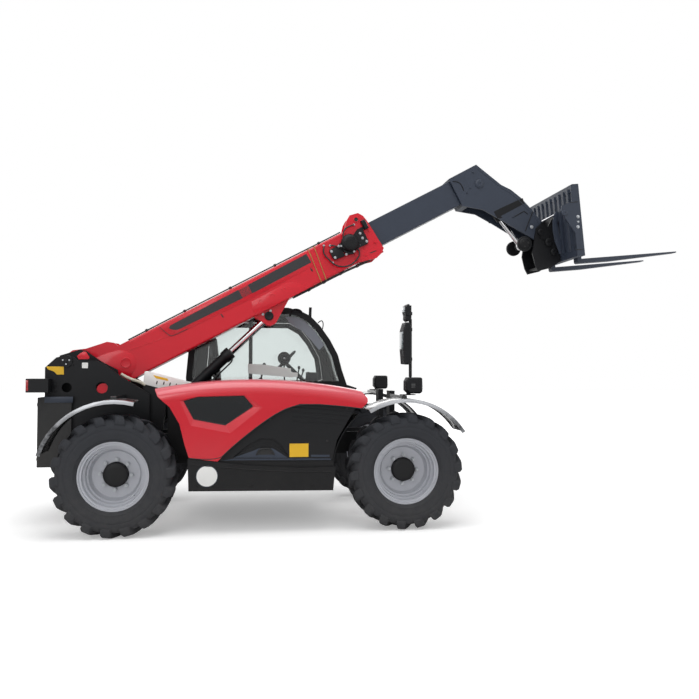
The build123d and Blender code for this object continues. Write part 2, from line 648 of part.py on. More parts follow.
pivot_f, pivot_h = on_frame(*TILT_PIVOT)
eye_f, eye_h = on_frame(*TILT_EYE)
ARM = [
    (eye_f - 48, eye_h), (eye_f - 20, eye_h + 46), (pivot_f - 30, pivot_h + 62),
    (-FRAME_D - 10, pivot_h + 70), (-FRAME_D - 10, pivot_h - 90), (pivot_f + 10, pivot_h - 66),
    (eye_f + 25, eye_h - 46), (eye_f - 25, eye_h - 42),
]
with BuildPart() as carrier:
    plate_out = PLATE_Y + ARM_T / 2
    for sign in (-1, 1):
        add(plate(fork_side, sign * PLATE_Y, ARM_T, HITCH))
        add(plate(fork_side, sign * ARM_Y, ARM_T, ARM))
        arm_out = ARM_Y + ARM_T / 2
        add(cross_bar(*TILT_EYE, 38, (sign * (arm_out - 2), sign * (arm_out + 12))))
        add(cross_bar(*TILT_PIVOT, 62, (sign * (plate_out - 2), sign * (plate_out + 14))))
    add(cross_bar(*TILT_PIVOT, TILT_PIN_R, (-plate_out, plate_out)))
    add(cross_bar(*TILT_PIVOT, 56, (-ARM_Y - 40, ARM_Y + 40)))
    add(along_frame((-FRAME_D - 18, -FRAME_D), (-PLATE_Y, PLATE_Y), (80, 630)))
    add(along_frame((-380, -240), (-PLATE_Y, PLATE_Y), (2, 22)))
save(carrier.part, "tool_carrier")

# Outline of an end plate, with the heavy gusset behind its middle.
CHEEK = [
    (-FRAME_CHEEK_BACK, 60), (-FRAME_CHEEK_BACK, FRAME_H - 8), (-FRAME_D, FRAME_H - 14),
    (-FRAME_D - 7, FRAME_H - 196), (-FRAME_D - 132, FRAME_H - 239),
    (-FRAME_D - 150, FRAME_H - 300), (-FRAME_D, FRAME_H - 560), (-FRAME_D, 60),
]
with BuildPart() as fork_frame:
    half = FRAME_W / 2
    for sign in (-1, 1):
        add(plate(fork_side, sign * (half - FRAME_CHEEK_T / 2), FRAME_CHEEK_T, CHEEK))
    for low, high, back in ((60, 140, FRAME_D), (500, 570, 40), (FRAME_H - 80, FRAME_H, 80)):
        add(along_frame((-back, 0), (-half + 8, half - 8), (low, high)))
    for bar in range(9):
        bar_y = -480 + 120 * bar
        add(along_frame((-FRAME_D, -38), (bar_y - 26, bar_y + 26), (100, FRAME_H - 40)))
save(fork_frame.part, "fork_frame")

with BuildPart() as forks:
    for hand, sign in SIDES:
        add(plate(fork_side, sign * FORK_Y, FORK_W, [
            (0, 12), (12, 0), (0.35 * FORK_L, 0), (FORK_L + FORK_T, FORK_T - FORK_TIP_T),
            (FORK_L + FORK_T, FORK_T), (FORK_T, FORK_T), (FORK_T - 8, 590), (0, 590),
        ]))
save(forks.part, "forks")

# ---------------------------------------------------------------- mudguards
# End, arc from and to in degrees, X of the support arm from the axle.
GUARDS = (("rear", 0.0, 75, 163, -20), ("front", WHEELBASE, 33, 122, 0))
with BuildPart() as guards:
    for end, axle_x, from_deg, to_deg, arm_x in GUARDS:
        for hand, sign in SIDES:
            with BuildSketch(side(-GUARD_Y[0] if sign < 0 else GUARD_Y[1])):
                with BuildLine():
                    sweep_deg = to_deg - from_deg
                    inner_arc = CenterArc((axle_x, TYRE_R), GUARD_R, from_deg, sweep_deg)
                    outer_arc = CenterArc((axle_x, TYRE_R), GUARD_R + GUARD_T, from_deg, sweep_deg)
                    Line(inner_arc @ 0, outer_arc @ 0)
                    Line(inner_arc @ 1, outer_arc @ 1)
                make_face()
            extrude(amount=GUARD_Y[1] - GUARD_Y[0])
            add(block((axle_x + arm_x - 28, axle_x + arm_x + 28),
                      (sign * (TOWER_OUT_Y + TOWER_T / 2), sign * 1020),
                      (GUARD_TOP - 6, GUARD_TOP + 30)))
save(guards.part, "mudguards")

# ---------------------------------------------------------------- lamps and mirrors
LAMP_Y = 900.0
LAMP_X = WHEELBASE + 115.0       # middle of a headlamp
LAMP_Z = (GUARD_TOP + 48, GUARD_TOP + 216)
with BuildPart() as lamps:
    for hand, sign in SIDES:
        add(block((RAIL_X[0] - 155, RAIL_X[0] + 63),
                  (sign * (TOWER_OUT_Y + TOWER_T / 2), sign * 560), (1370, 1510)))
        foot = (sign * (LAMP_Y - 55), sign * (LAMP_Y + 55))
        add(block((LAMP_X - 127, LAMP_X + 22), foot, (GUARD_TOP + 30, GUARD_TOP + 40)))
        with BuildPart(mode=Mode.PRIVATE) as shell:
            add(plate(side, sign * LAMP_Y, 150, [
                (LAMP_X - 85, LAMP_Z[0] + 34), (LAMP_X - 52, LAMP_Z[0]), (LAMP_X + 66, LAMP_Z[0]),
                (LAMP_X + 85, LAMP_Z[0] + 18), (LAMP_X + 85, LAMP_Z[1] - 10),
                (LAMP_X + 72, LAMP_Z[1]), (LAMP_X - 62, LAMP_Z[1]), (LAMP_X - 85, LAMP_Z[1] - 40),
            ]))
            chamfer(shell.faces().filter_by(Axis.Y).edges().filter_by(
                lambda edge: edge.center().X < REAR_AXLE_X + LAMP_X + 60), length=14)
        add(shell.part)
        add(block((LAMP_X - 65, LAMP_X - 25), (sign * (LAMP_Y - 20), sign * (LAMP_Y + 20)),
                  (GUARD_TOP + 35, LAMP_Z[0] + 6)))
save(lamps.part, "lamps")

MIRROR_POST_X = WHEELBASE + 90.0
# Height of a mirror head's lower and upper edge, its half width, and its rear face from the post.
MIRRORS = ((LAMP_Z[1] + 138, LAMP_Z[1] + 568, 100, 95), (LAMP_Z[1] + 638, LAMP_Z[1] + 758, 85, 72))
with BuildPart() as mirrors:
    with BuildSketch(Plane(origin=(REAR_AXLE_X + MIRROR_POST_X, -LAMP_Y, LAMP_Z[1]))):
        Circle(12)
    extrude(amount=MIRRORS[-1][1] - LAMP_Z[1] - 8)
    for low, high, half_y, back in MIRRORS:
        rear_x = MIRROR_POST_X - back
        with BuildPart(mode=Mode.PRIVATE) as head:
            add(plate(side, -LAMP_Y, 2 * half_y, [
                (rear_x + 12, low), (MIRROR_POST_X - 30, low - 6), (MIRROR_POST_X - 8, low + 40),
                (MIRROR_POST_X - 8, high - 50), (MIRROR_POST_X - 28, high), (rear_x + 26, high),
                (rear_x, high - (high - low) * 0.2), (rear_x, low + (high - low) * 0.35),
            ]))
            chamfer(head.faces().filter_by(Axis.Y).edges(), length=12)
        add(head.part)
save(mirrors.part, "mirrors")

# ---------------------------------------------------------------- cab
CAB_SIDE = on_bay([
    (600, CAB_FLOOR), (2080, CAB_FLOOR), (2120, 1240), (2500, 1310), (2555, 1390), (2434, 1430),
    (2375, 1604), (2327, 1782), (2232, 1960), (2113, 2125), (1995, 2243), (1877, 2301),
    (1736, SILL_Z + CAB_H), (800, SILL_Z + CAB_H), (680, 2250), (600, 1900), (566, 1518),
])
CAB_IN = (CAB_Y[0] + CAB_WALL, CAB_Y[1] - CAB_WALL)
CAB_MID = (CAB_Y[0] + CAB_Y[1]) / 2
DOOR = on_bay([
    (820, 975), (1990, 975), (2040, 1400), (2230, 1480), (2190, 1760), (2080, 1960),
    (1960, 2110), (1800, 2200), (900, 2200), (800, 2050), (760, 1520),
])
ROOF_Z = CAB_ROOF - ROOF_T
ROOF_CUT = (0, WHEELBASE)        # X span that takes in the whole cab


def inset(points, amount):
    """Side outline of a cab panel, moved in by amount, at Y = 0."""
    with BuildSketch(side(0)) as sketch:
        with BuildLine():
            Polyline(*points, close=True)
        make_face()
        offset(amount=-amount, kind=Kind.INTERSECTION, mode=Mode.REPLACE)
    return sketch.sketch


def slab(face, y_span):
    """Side face at Y = 0 made into a slab between two stations."""
    with BuildPart() as made:
        extrude(face.moved(Location((0, max(y_span), 0))), amount=max(y_span) - min(y_span))
    return made.part


def cab_shell():
    """Cab body with plain closed walls."""
    with BuildPart() as made:
        add(slab(inset(CAB_SIDE, 0), CAB_Y))
        add(slab(inset(CAB_SIDE, CAB_WALL), CAB_IN), mode=Mode.SUBTRACT)
    return made.part


DOOR_Y = (CAB_Y[1] - 42, CAB_Y[1] - 2)
DOOR_HINGE = (DOOR[-2][0] - 14, CAB_Y[1] + 12)      # X and Y of the hinge line
DOOR_HINGE_Z = (SILL_Z - 320, CAB_ROOF - 385)
HINGE_H = 60.0



def hinge_bracket(hinge_z):
    """Two lugs of a door hinge and the pin between them, on the cab's wall."""
    with BuildPart() as made:
        with Locations((REAR_AXLE_X + DOOR_HINGE[0], DOOR_HINGE[1], hinge_z)):
            Cylinder(HINGE_PIN_R, HINGE_H + 30)
        for step in (-1, 1):
            lug_z = hinge_z + step * (HINGE_H / 2 + 12)
            with Locations((REAR_AXLE_X + DOOR_HINGE[0], DOOR_HINGE[1], lug_z)):
                Cylinder(HINGE_R, 20)
            add(block((DOOR_HINGE[0] - 50, DOOR_HINGE[0]), (CAB_Y[1] - 3, DOOR_HINGE[1] + HINGE_R),
                      (lug_z - 10, lug_z + 10)))
    return made.part


WINDSCREEN = ((bay_x(2000), BAY_X[1] + 495), (CAB_IN[0] + 40, CAB_IN[1] - 40),
              (SILL_Z, ROOF_Z - 45))
REAR_WINDOW = ((500, 720), (CAB_IN[0] + 40, CAB_IN[1] - 40), (SILL_Z + 40, ROOF_Z - 90))
with BuildPart() as cab:
    add(cab_shell())
    add(block(*WINDSCREEN), mode=Mode.SUBTRACT)
    add(block(*REAR_WINDOW), mode=Mode.SUBTRACT)
    add(block(ROOF_CUT, CAB_Y, (ROOF_Z, CAB_ROOF + 10)), mode=Mode.SUBTRACT)
    with BuildPart(mode=Mode.PRIVATE) as side_window:
        add(slab(inset(CAB_SIDE, CAB_WALL + 20), (CAB_Y[0] - 5, CAB_IN[0] + 5)))
        add(block(ROOF_CUT, CAB_Y, (SILL_Z, ROOF_Z - 20)), mode=Mode.INTERSECT)
    add(side_window.part, mode=Mode.SUBTRACT)
    add(slab(inset(DOOR, -DOOR_GAP), (CAB_IN[1] - 5, CAB_Y[1] + 5)), mode=Mode.SUBTRACT)
    for hinge_z in DOOR_HINGE_Z:
        add(hinge_bracket(hinge_z))
save(cab.part, "cab_frame")

with BuildPart() as cab_roof:
    add(cab_shell())
    add(block(ROOF_CUT, CAB_Y, (ROOF_Z, CAB_ROOF + 10)), mode=Mode.INTERSECT)
save(cab_roof.part, "cab_roof")


def cab_pane(opening):
    """Pane of cab glass that follows the wall through a box-shaped opening."""
    with BuildPart() as made:
        add(slab(inset(CAB_SIDE, CAB_WALL / 2), CAB_Y))
        add(slab(inset(CAB_SIDE, CAB_WALL / 2 + GLASS_T), CAB_Y), mode=Mode.SUBTRACT)
        add(block(*opening), mode=Mode.INTERSECT)
    return made.part


with BuildPart() as glass:
    add(cab_pane(WINDSCREEN))
    add(cab_pane(REAR_WINDOW))
    with BuildPart(mode=Mode.PRIVATE) as side_pane:
        pane_y = CAB_Y[0] + CAB_WALL / 2
        add(slab(inset(CAB_SIDE, CAB_WALL + 20), (pane_y, pane_y + GLASS_T)))
        add(block(ROOF_CUT, CAB_Y, (SILL_Z, ROOF_Z - 20)), mode=Mode.INTERSECT)
    add(side_pane.part)
save(glass.part, "cab_glass")

# Boxes that the door's two panes lie in.
UPPER_PANE = ((0, WHEELBASE), CAB_Y, (SILL_Z, ROOF_Z))
LOWER_PANE = ((1300, WHEELBASE), CAB_Y, (SILL_Z - 390, SILL_Z - 50))
with BuildPart() as door:
    add(slab(inset(DOOR, 0), DOOR_Y))
    with BuildPart(mode=Mode.PRIVATE) as door_window:
        add(slab(inset(DOOR, 60), (CAB_IN[1] - 20, CAB_Y[1])))
        add(block(*UPPER_PANE), mode=Mode.INTERSECT)
    add(door_window.part, mode=Mode.SUBTRACT)
    with BuildPart(mode=Mode.PRIVATE) as lower_window:
        add(slab(inset(DOOR, 60), (CAB_IN[1] - 20, CAB_Y[1])))
        add(block(*LOWER_PANE), mode=Mode.INTERSECT)
    add(lower_window.part, mode=Mode.SUBTRACT)
    handle_x = DOOR[1][0] - 140
    add(block((handle_x, handle_x + 110), (DOOR_Y[1] - 1, DOOR_Y[1] + 26), (SILL_Z - 42, SILL_Z - 14)))
    for hinge_z in DOOR_HINGE_Z:
        with Locations((REAR_AXLE_X + DOOR_HINGE[0], DOOR_HINGE[1], hinge_z)):
            Cylinder(HINGE_R, HINGE_H)
        leaf_z = (hinge_z - HINGE_H / 2, hinge_z + HINGE_H / 2)
        add(block((DOOR_HINGE[0], DOOR_HINGE[0] + 80), (CAB_Y[1] + 2, DOOR_HINGE[1] + 4), leaf_z))
        add(block((DOOR_HINGE[0] + 40, DOOR_HINGE[0] + 80), (DOOR_Y[1] - 1, CAB_Y[1] + 3), leaf_z))
        with Locations((REAR_AXLE_X + DOOR_HINGE[0], DOOR_HINGE[1], hinge_z)):
            Cylinder(HINGE_PIN_R + FIT, HINGE_H + 20, mode=Mode.SUBTRACT)
save(door.part, "cab_door")

with BuildPart() as door_glass:
    pane_y = (DOOR_Y[0] + DOOR_Y[1]) / 2
    for pane in (UPPER_PANE, LOWER_PANE):
        with BuildPart(mode=Mode.PRIVATE) as one_pane:
            add(slab(inset(DOOR, 60), (pane_y, pane_y + GLASS_T)))
            add(block(*pane), mode=Mode.INTERSECT)
        add(one_pane.part)
save(door_glass.part, "cab_door_glass")

SEAT_X = 900.0
SEAT_Y = (CAB_MID - 210, CAB_MID + 210)
SEAT_Z = CAB_FLOOR + 485
with BuildPart() as seat:
    add(block((SEAT_X, SEAT_X + 380), (SEAT_Y[0] + 50, SEAT_Y[1] - 50),
              (CAB_FLOOR + CAB_WALL, SEAT_Z - 120)))
    add(block((SEAT_X - 30, SEAT_X + 450), SEAT_Y, (SEAT_Z - 125, SEAT_Z)))
    add(plate(side, CAB_MID, SEAT_Y[1] - SEAT_Y[0] - 20, [
        (SEAT_X + 60, SEAT_Z - 10), (SEAT_X - 20, SEAT_Z - 10), (SEAT_X - 90, SEAT_Z + 600),
        (SEAT_X, SEAT_Z + 610),
    ]))
save(seat.part, "seat")

DASH_X = bay_x(1940)             # rear face of the dashboard
DASH_Y = (CAB_IN[0] + 30, CAB_IN[1] - 60)
DASH_Z = SILL_Z - 40
WHEEL_HUB = (DASH_X - 220, SILL_Z + 230)     # middle of the steering wheel: X, Z
COLUMN_FOOT = (bay_x(2008), DASH_Z - 10)
with BuildPart() as dashboard:
    add(block((DASH_X, bay_x(2012)), DASH_Y, (CAB_FLOOR + CAB_WALL, DASH_Z)))
    add(block((DASH_X, bay_x(2434) - 55), DASH_Y, (DASH_Z - 58, DASH_Z)))
    add(block((SEAT_X + 370, DASH_X - 60), (CAB_IN[0], CAB_IN[0] + 110),
              (CAB_FLOOR + CAB_WALL, SILL_Z - 10)))
    add(strut(COLUMN_FOOT, WHEEL_HUB, 24, y=CAB_MID))
    run = hypot(WHEEL_HUB[0] - COLUMN_FOOT[0], WHEEL_HUB[1] - COLUMN_FOOT[1])
    rake = ((WHEEL_HUB[0] - COLUMN_FOOT[0]) / run, (WHEEL_HUB[1] - COLUMN_FOOT[1]) / run)
    hub = Plane(origin=(REAR_AXLE_X + WHEEL_HUB[0], CAB_MID, WHEEL_HUB[1]), x_dir=(0, 1, 0),
                z_dir=(rake[0], 0, rake[1]))
    with BuildSketch(hub):
        Circle(38)
        Rectangle(2 * STEER_R, 26)
    extrude(amount=16)
    with Locations(hub):
        Torus(STEER_R, 14)
save(dashboard.part, "dashboard")

# ---------------------------------------------------------------- engine bay
# Outline of the hood's side, the arch edge and sill first; the crest is an arc over the top.
HOOD_EDGE = on_bay([
    (365, 1420), (403, 1343), (516, 1245), (611, 1080), (659, 886), (702, 751), (974, 715),
    (1089, 830), (1282, 992), (1477, 1137), (1625, 1224), (1773, 1271), (1973, 1269),
    (2224, 1247), (2397, 1225), (2458, 1285), (2458, 1325), (2397, 1400),
])
HOOD_CREST = on_bay([(1385, 1508)])[0]
# Window and the edge of the recess round it, corner for corner.
HOOD_WINDOW = on_bay([
    (650, 1303), (745, 1128), (1045, 1068), (1311, 1248), (1223, 1351), (782, 1340),
])
HOOD_RECESS = on_bay([
    (606, 1309), (717, 1061), (1098, 984), (1418, 1237), (1236, 1360), (776, 1348),
])
HOOD_Y = (-SIDE_Y, HOOD_IN_Y)


def under_crest(low_edge, drop, y_span, rounding):
    """Solid under the hood's crest arc lowered by drop, its outer upper edge rounded."""
    first, last = [(x, z - drop) for x, z in (HOOD_EDGE[0], HOOD_EDGE[-1])]
    with BuildPart() as made:
        with BuildSketch(side(y_span[1])):
            with BuildLine():
                Polyline(first, *low_edge, last)
                ThreePointArc(last, (HOOD_CREST[0], HOOD_CREST[1] - drop), first)
            make_face()
        extrude(amount=y_span[1] - y_span[0])
        crest = made.edges().group_by(Axis.Y)[0].sort_by(Axis.Z)[-1]
        fillet(crest, radius=rounding)
    return made.part


with BuildPart() as hood:
    add(under_crest(HOOD_EDGE[1:-1], 0, HOOD_Y, HOOD_ROUND))
    with BuildPart(mode=Mode.PRIVATE) as hollow:
        ends = [(HOOD_EDGE[0][0], 600), (HOOD_EDGE[-1][0], 600)]
        add(under_crest(ends, HOOD_T, (HOOD_Y[0] + HOOD_T, HOOD_Y[1] + 1), HOOD_ROUND - HOOD_T))
        add(block((HOOD_EDGE[0][0] + HOOD_T, HOOD_EDGE[-1][0] - HOOD_T),
                  (HOOD_Y[0], HOOD_Y[1] + 1), (600, HOOD_CREST[1])), mode=Mode.INTERSECT)
    add(hollow.part, mode=Mode.SUBTRACT)
    with BuildPart(mode=Mode.PRIVATE) as window_cut:
        for depth, points in ((-1, HOOD_RECESS), (RECESS, HOOD_WINDOW)):
            with BuildSketch(side(HOOD_Y[0] + depth)):
                with BuildLine():
                    Polyline(*points, close=True)
                make_face()
        loft(ruled=True)
        add(slab(inset(HOOD_WINDOW, 0), (HOOD_Y[0] + RECESS - 1, HOOD_Y[0] + HOOD_T + 5)))
    add(window_cut.part, mode=Mode.SUBTRACT)
    for hinge_x in HOOD_HINGE_X:
        add(block((hinge_x - 18, hinge_x + 18), (HOOD_HINGE[0] - 12, HOOD_HINGE[0] + 12),
                  (HOOD_HINGE[1] - 12, HOOD_HINGE[1] + 14)))
        add(block((hinge_x - 18, hinge_x + 18), (HOOD_IN_Y - 10, HOOD_IN_Y),
                  (HOOD_HINGE[1], HOOD_HINGE[1] + 50)))
        with BuildSketch(Plane(origin=(REAR_AXLE_X + hinge_x - 40, *HOOD_HINGE), z_dir=(1, 0, 0))):
            Circle(HOOD_PIN_R + FIT)
        extrude(amount=80, mode=Mode.SUBTRACT)
save(hood.part, "engine_hood")

with BuildPart() as hood_window:
    pane_y = HOOD_Y[0] + RECESS
    add(slab(inset(HOOD_WINDOW, 0), (pane_y, pane_y + GLASS_T)))
save(hood_window.part, "hood_window")

with BuildPart() as engine:
    add(block((BAY_X[0] + 450, BAY_X[1] - 85), (-SIDE_Y + 80, HOOD_WALL_Y - 20),
              (BAY_TOP, BAY_TOP + 570)))
save(engine.part, "engine_block")

SKIRT = on_bay([
    (690, 744), (700, BELLY_Z - 8), (2109, BELLY_Z - 28), (2130, 643), (1771, 642), (1282, 672),
    (993, 708),
])
SKIRT_T = 25.0
LINER_Y = (-SIDE_Y + SKIRT_T, -560.0)
LINER_DEG = (130, 44)        # start and sweep of the liner's arc
RAIL_OUT = RAIL_Y + RAIL_T / 2
with BuildPart() as skirt:
    add(slab(inset(SKIRT, 0), (-SIDE_Y, -SIDE_Y + SKIRT_T)))
    add(block(BAY_X, (-SIDE_Y + SKIRT_T - 1, -RAIL_OUT), (BELLY_Z, BAY_TOP)))
    # Liner of the front wheel's arch, on a lip of the skirt.
    with BuildSketch(side(LINER_Y[1])):
        with BuildLine():
            near_arc = CenterArc((WHEELBASE, TYRE_R), LINER_R, *LINER_DEG)
            far_arc = CenterArc((WHEELBASE, TYRE_R), LINER_R + LINER_T, *LINER_DEG)
            Line(near_arc @ 0, far_arc @ 0)
            Line(near_arc @ 1, far_arc @ 1)
        make_face()
    extrude(amount=LINER_Y[1] - LINER_Y[0])
    add(block((BAY_X[1] - 20, WHEELBASE - LINER_R + 8), LINER_Y, (BAY_TOP - 45, BAY_TOP - 5)))
save(skirt.part, "side_skirt")

SIDE_PANEL = on_bay([
    (960, BAY_TOP), (1070, 845), (1265, 1012), (1465, 1160), (1615, 1246), (1770, 1293),
    (1975, 1291), (2230, 1268), (2345, 1240),
]) + [(WHEELBASE - 700, 907), (BAY_X[1], BAY_TOP)]
PANEL_Y = -SIDE_Y + SKIRT_T + 6
# Hollow of the panel's grab, and the sill in it.
GRAB = on_bay([
    (1128, 752), (1270, 868), (1392, 928), (1512, 922), (1588, 868), (1668, 752),
])
GRAB_SILL = on_bay([
    (1128, 752), (1290, 842), (1400, 872), (1500, 866), (1580, 822), (1668, 752),
])
with BuildPart() as side_panel:
    add(slab(inset(SIDE_PANEL, 0), (PANEL_Y, PANEL_Y + SKIRT_T)))
    add(slab(inset(GRAB, 0), (PANEL_Y - 1, PANEL_Y + 16)), mode=Mode.SUBTRACT)
    add(slab(inset(GRAB_SILL, 0), (PANEL_Y + 6, PANEL_Y + 17)))
save(side_panel.part, "side_panel")

TANK_STEP = ((BAY_X[0] + 450, BAY_X[1] - 455), (SIDE_Y - 220, SIDE_Y + 10),
             (BELLY_Z + 200, CAB_FLOOR + 10))
with BuildPart() as fuel_tank:
    add(block(BAY_X, (RAIL_OUT, SIDE_Y - 10), (BELLY_Z, CAB_FLOOR)))
    add(block(*TANK_STEP), mode=Mode.SUBTRACT)
save(fuel_tank.part, "fuel_tank")

OIL_TANK = [
    (120, RAIL_Z[1]), (174, 1508), (184, 1591), (387, 1539), (663, 1464), (663, 1330),
    (420, 1280), (360, RAIL_Z[1]),
]
with BuildPart() as oil_tank:
    add(slab(inset(OIL_TANK, 0), (-355, -240)))
save(oil_tank.part, "hydraulic_tank")
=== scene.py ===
"""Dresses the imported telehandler: tyres, panels, cab fittings, small hardware and finishes.

Metres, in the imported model's frame: +X forward, +Y the machine's left, +Z up, ground at 0.
"""

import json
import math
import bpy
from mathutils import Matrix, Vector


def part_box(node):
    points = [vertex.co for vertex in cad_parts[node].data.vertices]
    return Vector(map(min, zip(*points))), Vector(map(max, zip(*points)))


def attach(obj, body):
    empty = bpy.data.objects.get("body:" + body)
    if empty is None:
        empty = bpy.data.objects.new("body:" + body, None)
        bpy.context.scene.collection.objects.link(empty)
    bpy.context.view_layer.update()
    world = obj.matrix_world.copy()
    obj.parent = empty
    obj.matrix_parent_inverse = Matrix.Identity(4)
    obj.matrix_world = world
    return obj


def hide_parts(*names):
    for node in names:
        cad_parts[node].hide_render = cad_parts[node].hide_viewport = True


bl_info = {
    "name": "Telehandler Dressing",
    "version": (1, 0, 0),
    "blender": (4, 5, 0),
    "location": "View3D > Sidebar > Telehandler",
    "description": "Tyres, panels, cab fittings and finishes round a packed telehandler",
    "category": "Object",
}

import bpy
from bpy.props import FloatProperty, IntProperty, PointerProperty, StringProperty
from mathutils import Matrix, Vector

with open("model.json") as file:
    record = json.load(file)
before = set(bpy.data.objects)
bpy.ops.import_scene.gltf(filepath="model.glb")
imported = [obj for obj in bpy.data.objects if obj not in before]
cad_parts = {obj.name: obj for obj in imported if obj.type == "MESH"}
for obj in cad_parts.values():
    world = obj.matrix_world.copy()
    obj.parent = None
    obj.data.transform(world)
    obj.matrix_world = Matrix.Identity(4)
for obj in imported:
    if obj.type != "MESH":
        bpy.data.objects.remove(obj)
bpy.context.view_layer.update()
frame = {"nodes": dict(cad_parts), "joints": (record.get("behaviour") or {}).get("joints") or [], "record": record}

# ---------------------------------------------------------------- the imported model's places
JOINT = {joint["name"]: joint for joint in frame["joints"]}
ENDS = ("rear", "front")
HANDS = (("right", -1), ("left", 1))


def middle(node_name):
    """Centre of a CAD node's box."""
    low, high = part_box(node_name)
    return (low + high) / 2


def laid(origin, way):
    """Matrix of a frame at origin, its X along a way in the machine's long plane."""
    return Matrix.Translation(origin) @ Matrix.Rotation(-math.atan2(way.z, way.x), 4, "Y")


AXLE_X = middle("rim_rear_right").x      # rear axle
BOOM_WAY = Vector(JOINT["boom_extend"]["axis"])
LIFT_TOP = Vector(JOINT["lift_cylinder_swing"]["pos_m"])
LIFT_RUN = Vector((AXLE_X + 0.120, 0, 0.889)) - LIFT_TOP     # from the upper pin to the base
LIFT_MOUTH = LIFT_RUN.length - 1.320     # how far down that run the barrel begins
TILT_BASE = Vector(JOINT["tilt_cylinder_swing"]["pos_m"])
CARRIAGE_PIN = Vector(JOINT["carriage_tilt"]["pos_m"])
FORK_MOUNT = next(m for m in frame["record"]["mounts"] if m["name"] == "fork_frame_face")

MACHINE = Matrix.Translation((AXLE_X, 0, 0))     # X from the rear axle
BOOM = laid(Vector(JOINT["boom_lift"]["pos_m"]), BOOM_WAY)      # along the boom, from its pivot
FORKS = laid(Vector(FORK_MOUNT["pos_m"]), Vector(FORK_MOUNT["axis"]))    # from the frame's face
LIFT = laid(LIFT_TOP, LIFT_RUN)          # down the lift cylinder


# ---------------------------------------------------------------- modelling helpers
def pick(*pieces):
    """Select these pieces alone."""
    if bpy.context.object and bpy.context.object.mode != "OBJECT":
        bpy.ops.object.mode_set(mode="OBJECT")
    bpy.ops.object.select_all(action="DESELECT")
    for piece in pieces:
        piece.select_set(True)
    bpy.context.view_layer.objects.active = pieces[0]


def start(add, **values):
    """New primitive, with all else deselected."""
    bpy.ops.object.select_all(action="DESELECT")
    add(**values)
    return bpy.context.active_object


def settle(piece, place=None):
    """Put a piece's place into its mesh."""
    bpy.context.view_layer.update()
    if place:
        piece.matrix_world = place @ piece.matrix_world
    pick(piece)
    bpy.ops.object.transform_apply(location=True, rotation=True, scale=True)
    return piece


def close(piece, place):
    """Leave edit mode with all faces turned outwards, and settle the piece."""
    bpy.ops.mesh.select_all(action="SELECT")
    bpy.ops.mesh.normals_make_consistent(inside=False)
    bpy.ops.object.mode_set(mode="OBJECT")
    return settle(piece, place)


def block(x_span, y_span, z_span, place=MACHINE):
    """Box between two stations each way."""
    spans = (x_span, y_span, z_span)
    piece = start(bpy.ops.mesh.primitive_cube_add, size=1, location=[(a + b) / 2 for a, b in spans])
    piece.scale = [abs(b - a) for a, b in spans]
    return settle(piece, place)


def drum(centre, radius, depth, way="Y", sides=32, place=MACHINE):
    """Cylinder along one axis."""
    turn = {"X": (0, math.pi / 2, 0), "Y": (math.pi / 2, 0, 0), "Z": (0, 0, 0)}[way]
    return settle(start(bpy.ops.mesh.primitive_cylinder_add, vertices=sides, radius=radius,
                        depth=depth, location=centre, rotation=turn), place)


def ball(centre, size, segments, rings):
    """Sphere stretched to its three half sizes."""
    piece = start(bpy.ops.mesh.primitive_uv_sphere_add, segments=segments, ring_count=rings,
                  location=centre)
    piece.scale = size
    return settle(piece, MACHINE)


def sheet(points, face, depth, place=MACHINE):
    """Panel from its side outline, extruded across the machine from its face."""
    piece = start(bpy.ops.mesh.primitive_circle_add, vertices=len(points), fill_type="NGON")
    for corner, (x, z) in zip(piece.data.vertices, points):
        corner.co = (x, face, z)
    bpy.ops.object.mode_set(mode="EDIT")
    bpy.ops.mesh.select_all(action="SELECT")
    bpy.ops.mesh.extrude_region_move(TRANSFORM_OT_translate={"value": (0, depth, 0)})
    return close(piece, place)


def tube(points, radius, place=MACHINE, sides=3, closed=False, order=3):
    """Round bar along a few points, its bends eased, or sharp with an order of 2."""
    piece = start(bpy.ops.curve.primitive_nurbs_path_add)
    curve = piece.data
    curve.splines.clear()
    spline = curve.splines.new("NURBS")
    spline.points.add(len(points) - 1)
    for knot, at in zip(spline.points, points):
        knot.co = (*at, 1)
    spline.order_u = order
    spline.use_endpoint_u = not closed
    spline.use_cyclic_u = closed
    spline.resolution_u = 6
    curve.dimensions = "3D"
    curve.bevel_depth = radius
    curve.bevel_resolution = sides
    curve.use_fill_caps = True
    piece.location = (0, 0, 0)
    bpy.ops.object.convert(target="MESH")
    return settle(piece, place)


def turned(section, centre, way="Y", steps=48, place=MACHINE, side=1):
    """Turned body from its section of (along the axis, radius), closed on itself."""
    axis = Vector([way == "X", way == "Y", way == "Z"])
    out = Vector((1, 0, 0)) if way == "Z" else Vector((0, 0, 1))
    piece = start(bpy.ops.mesh.primitive_circle_add, vertices=len(section), fill_type="NOTHING")
    for corner, (along, radius) in zip(piece.data.vertices, section):
        corner.co = Vector(centre) + axis * along * side + out * radius
    bpy.ops.object.mode_set(mode="EDIT")
    bpy.ops.mesh.select_all(action="SELECT")
    bpy.ops.mesh.spin(steps=steps, angle=math.tau, center=centre, axis=axis)
    bpy.ops.mesh.select_all(action="SELECT")
    bpy.ops.mesh.remove_doubles(threshold=0.00002)
    bpy.ops.mesh.delete_loose()
    return close(piece, place)


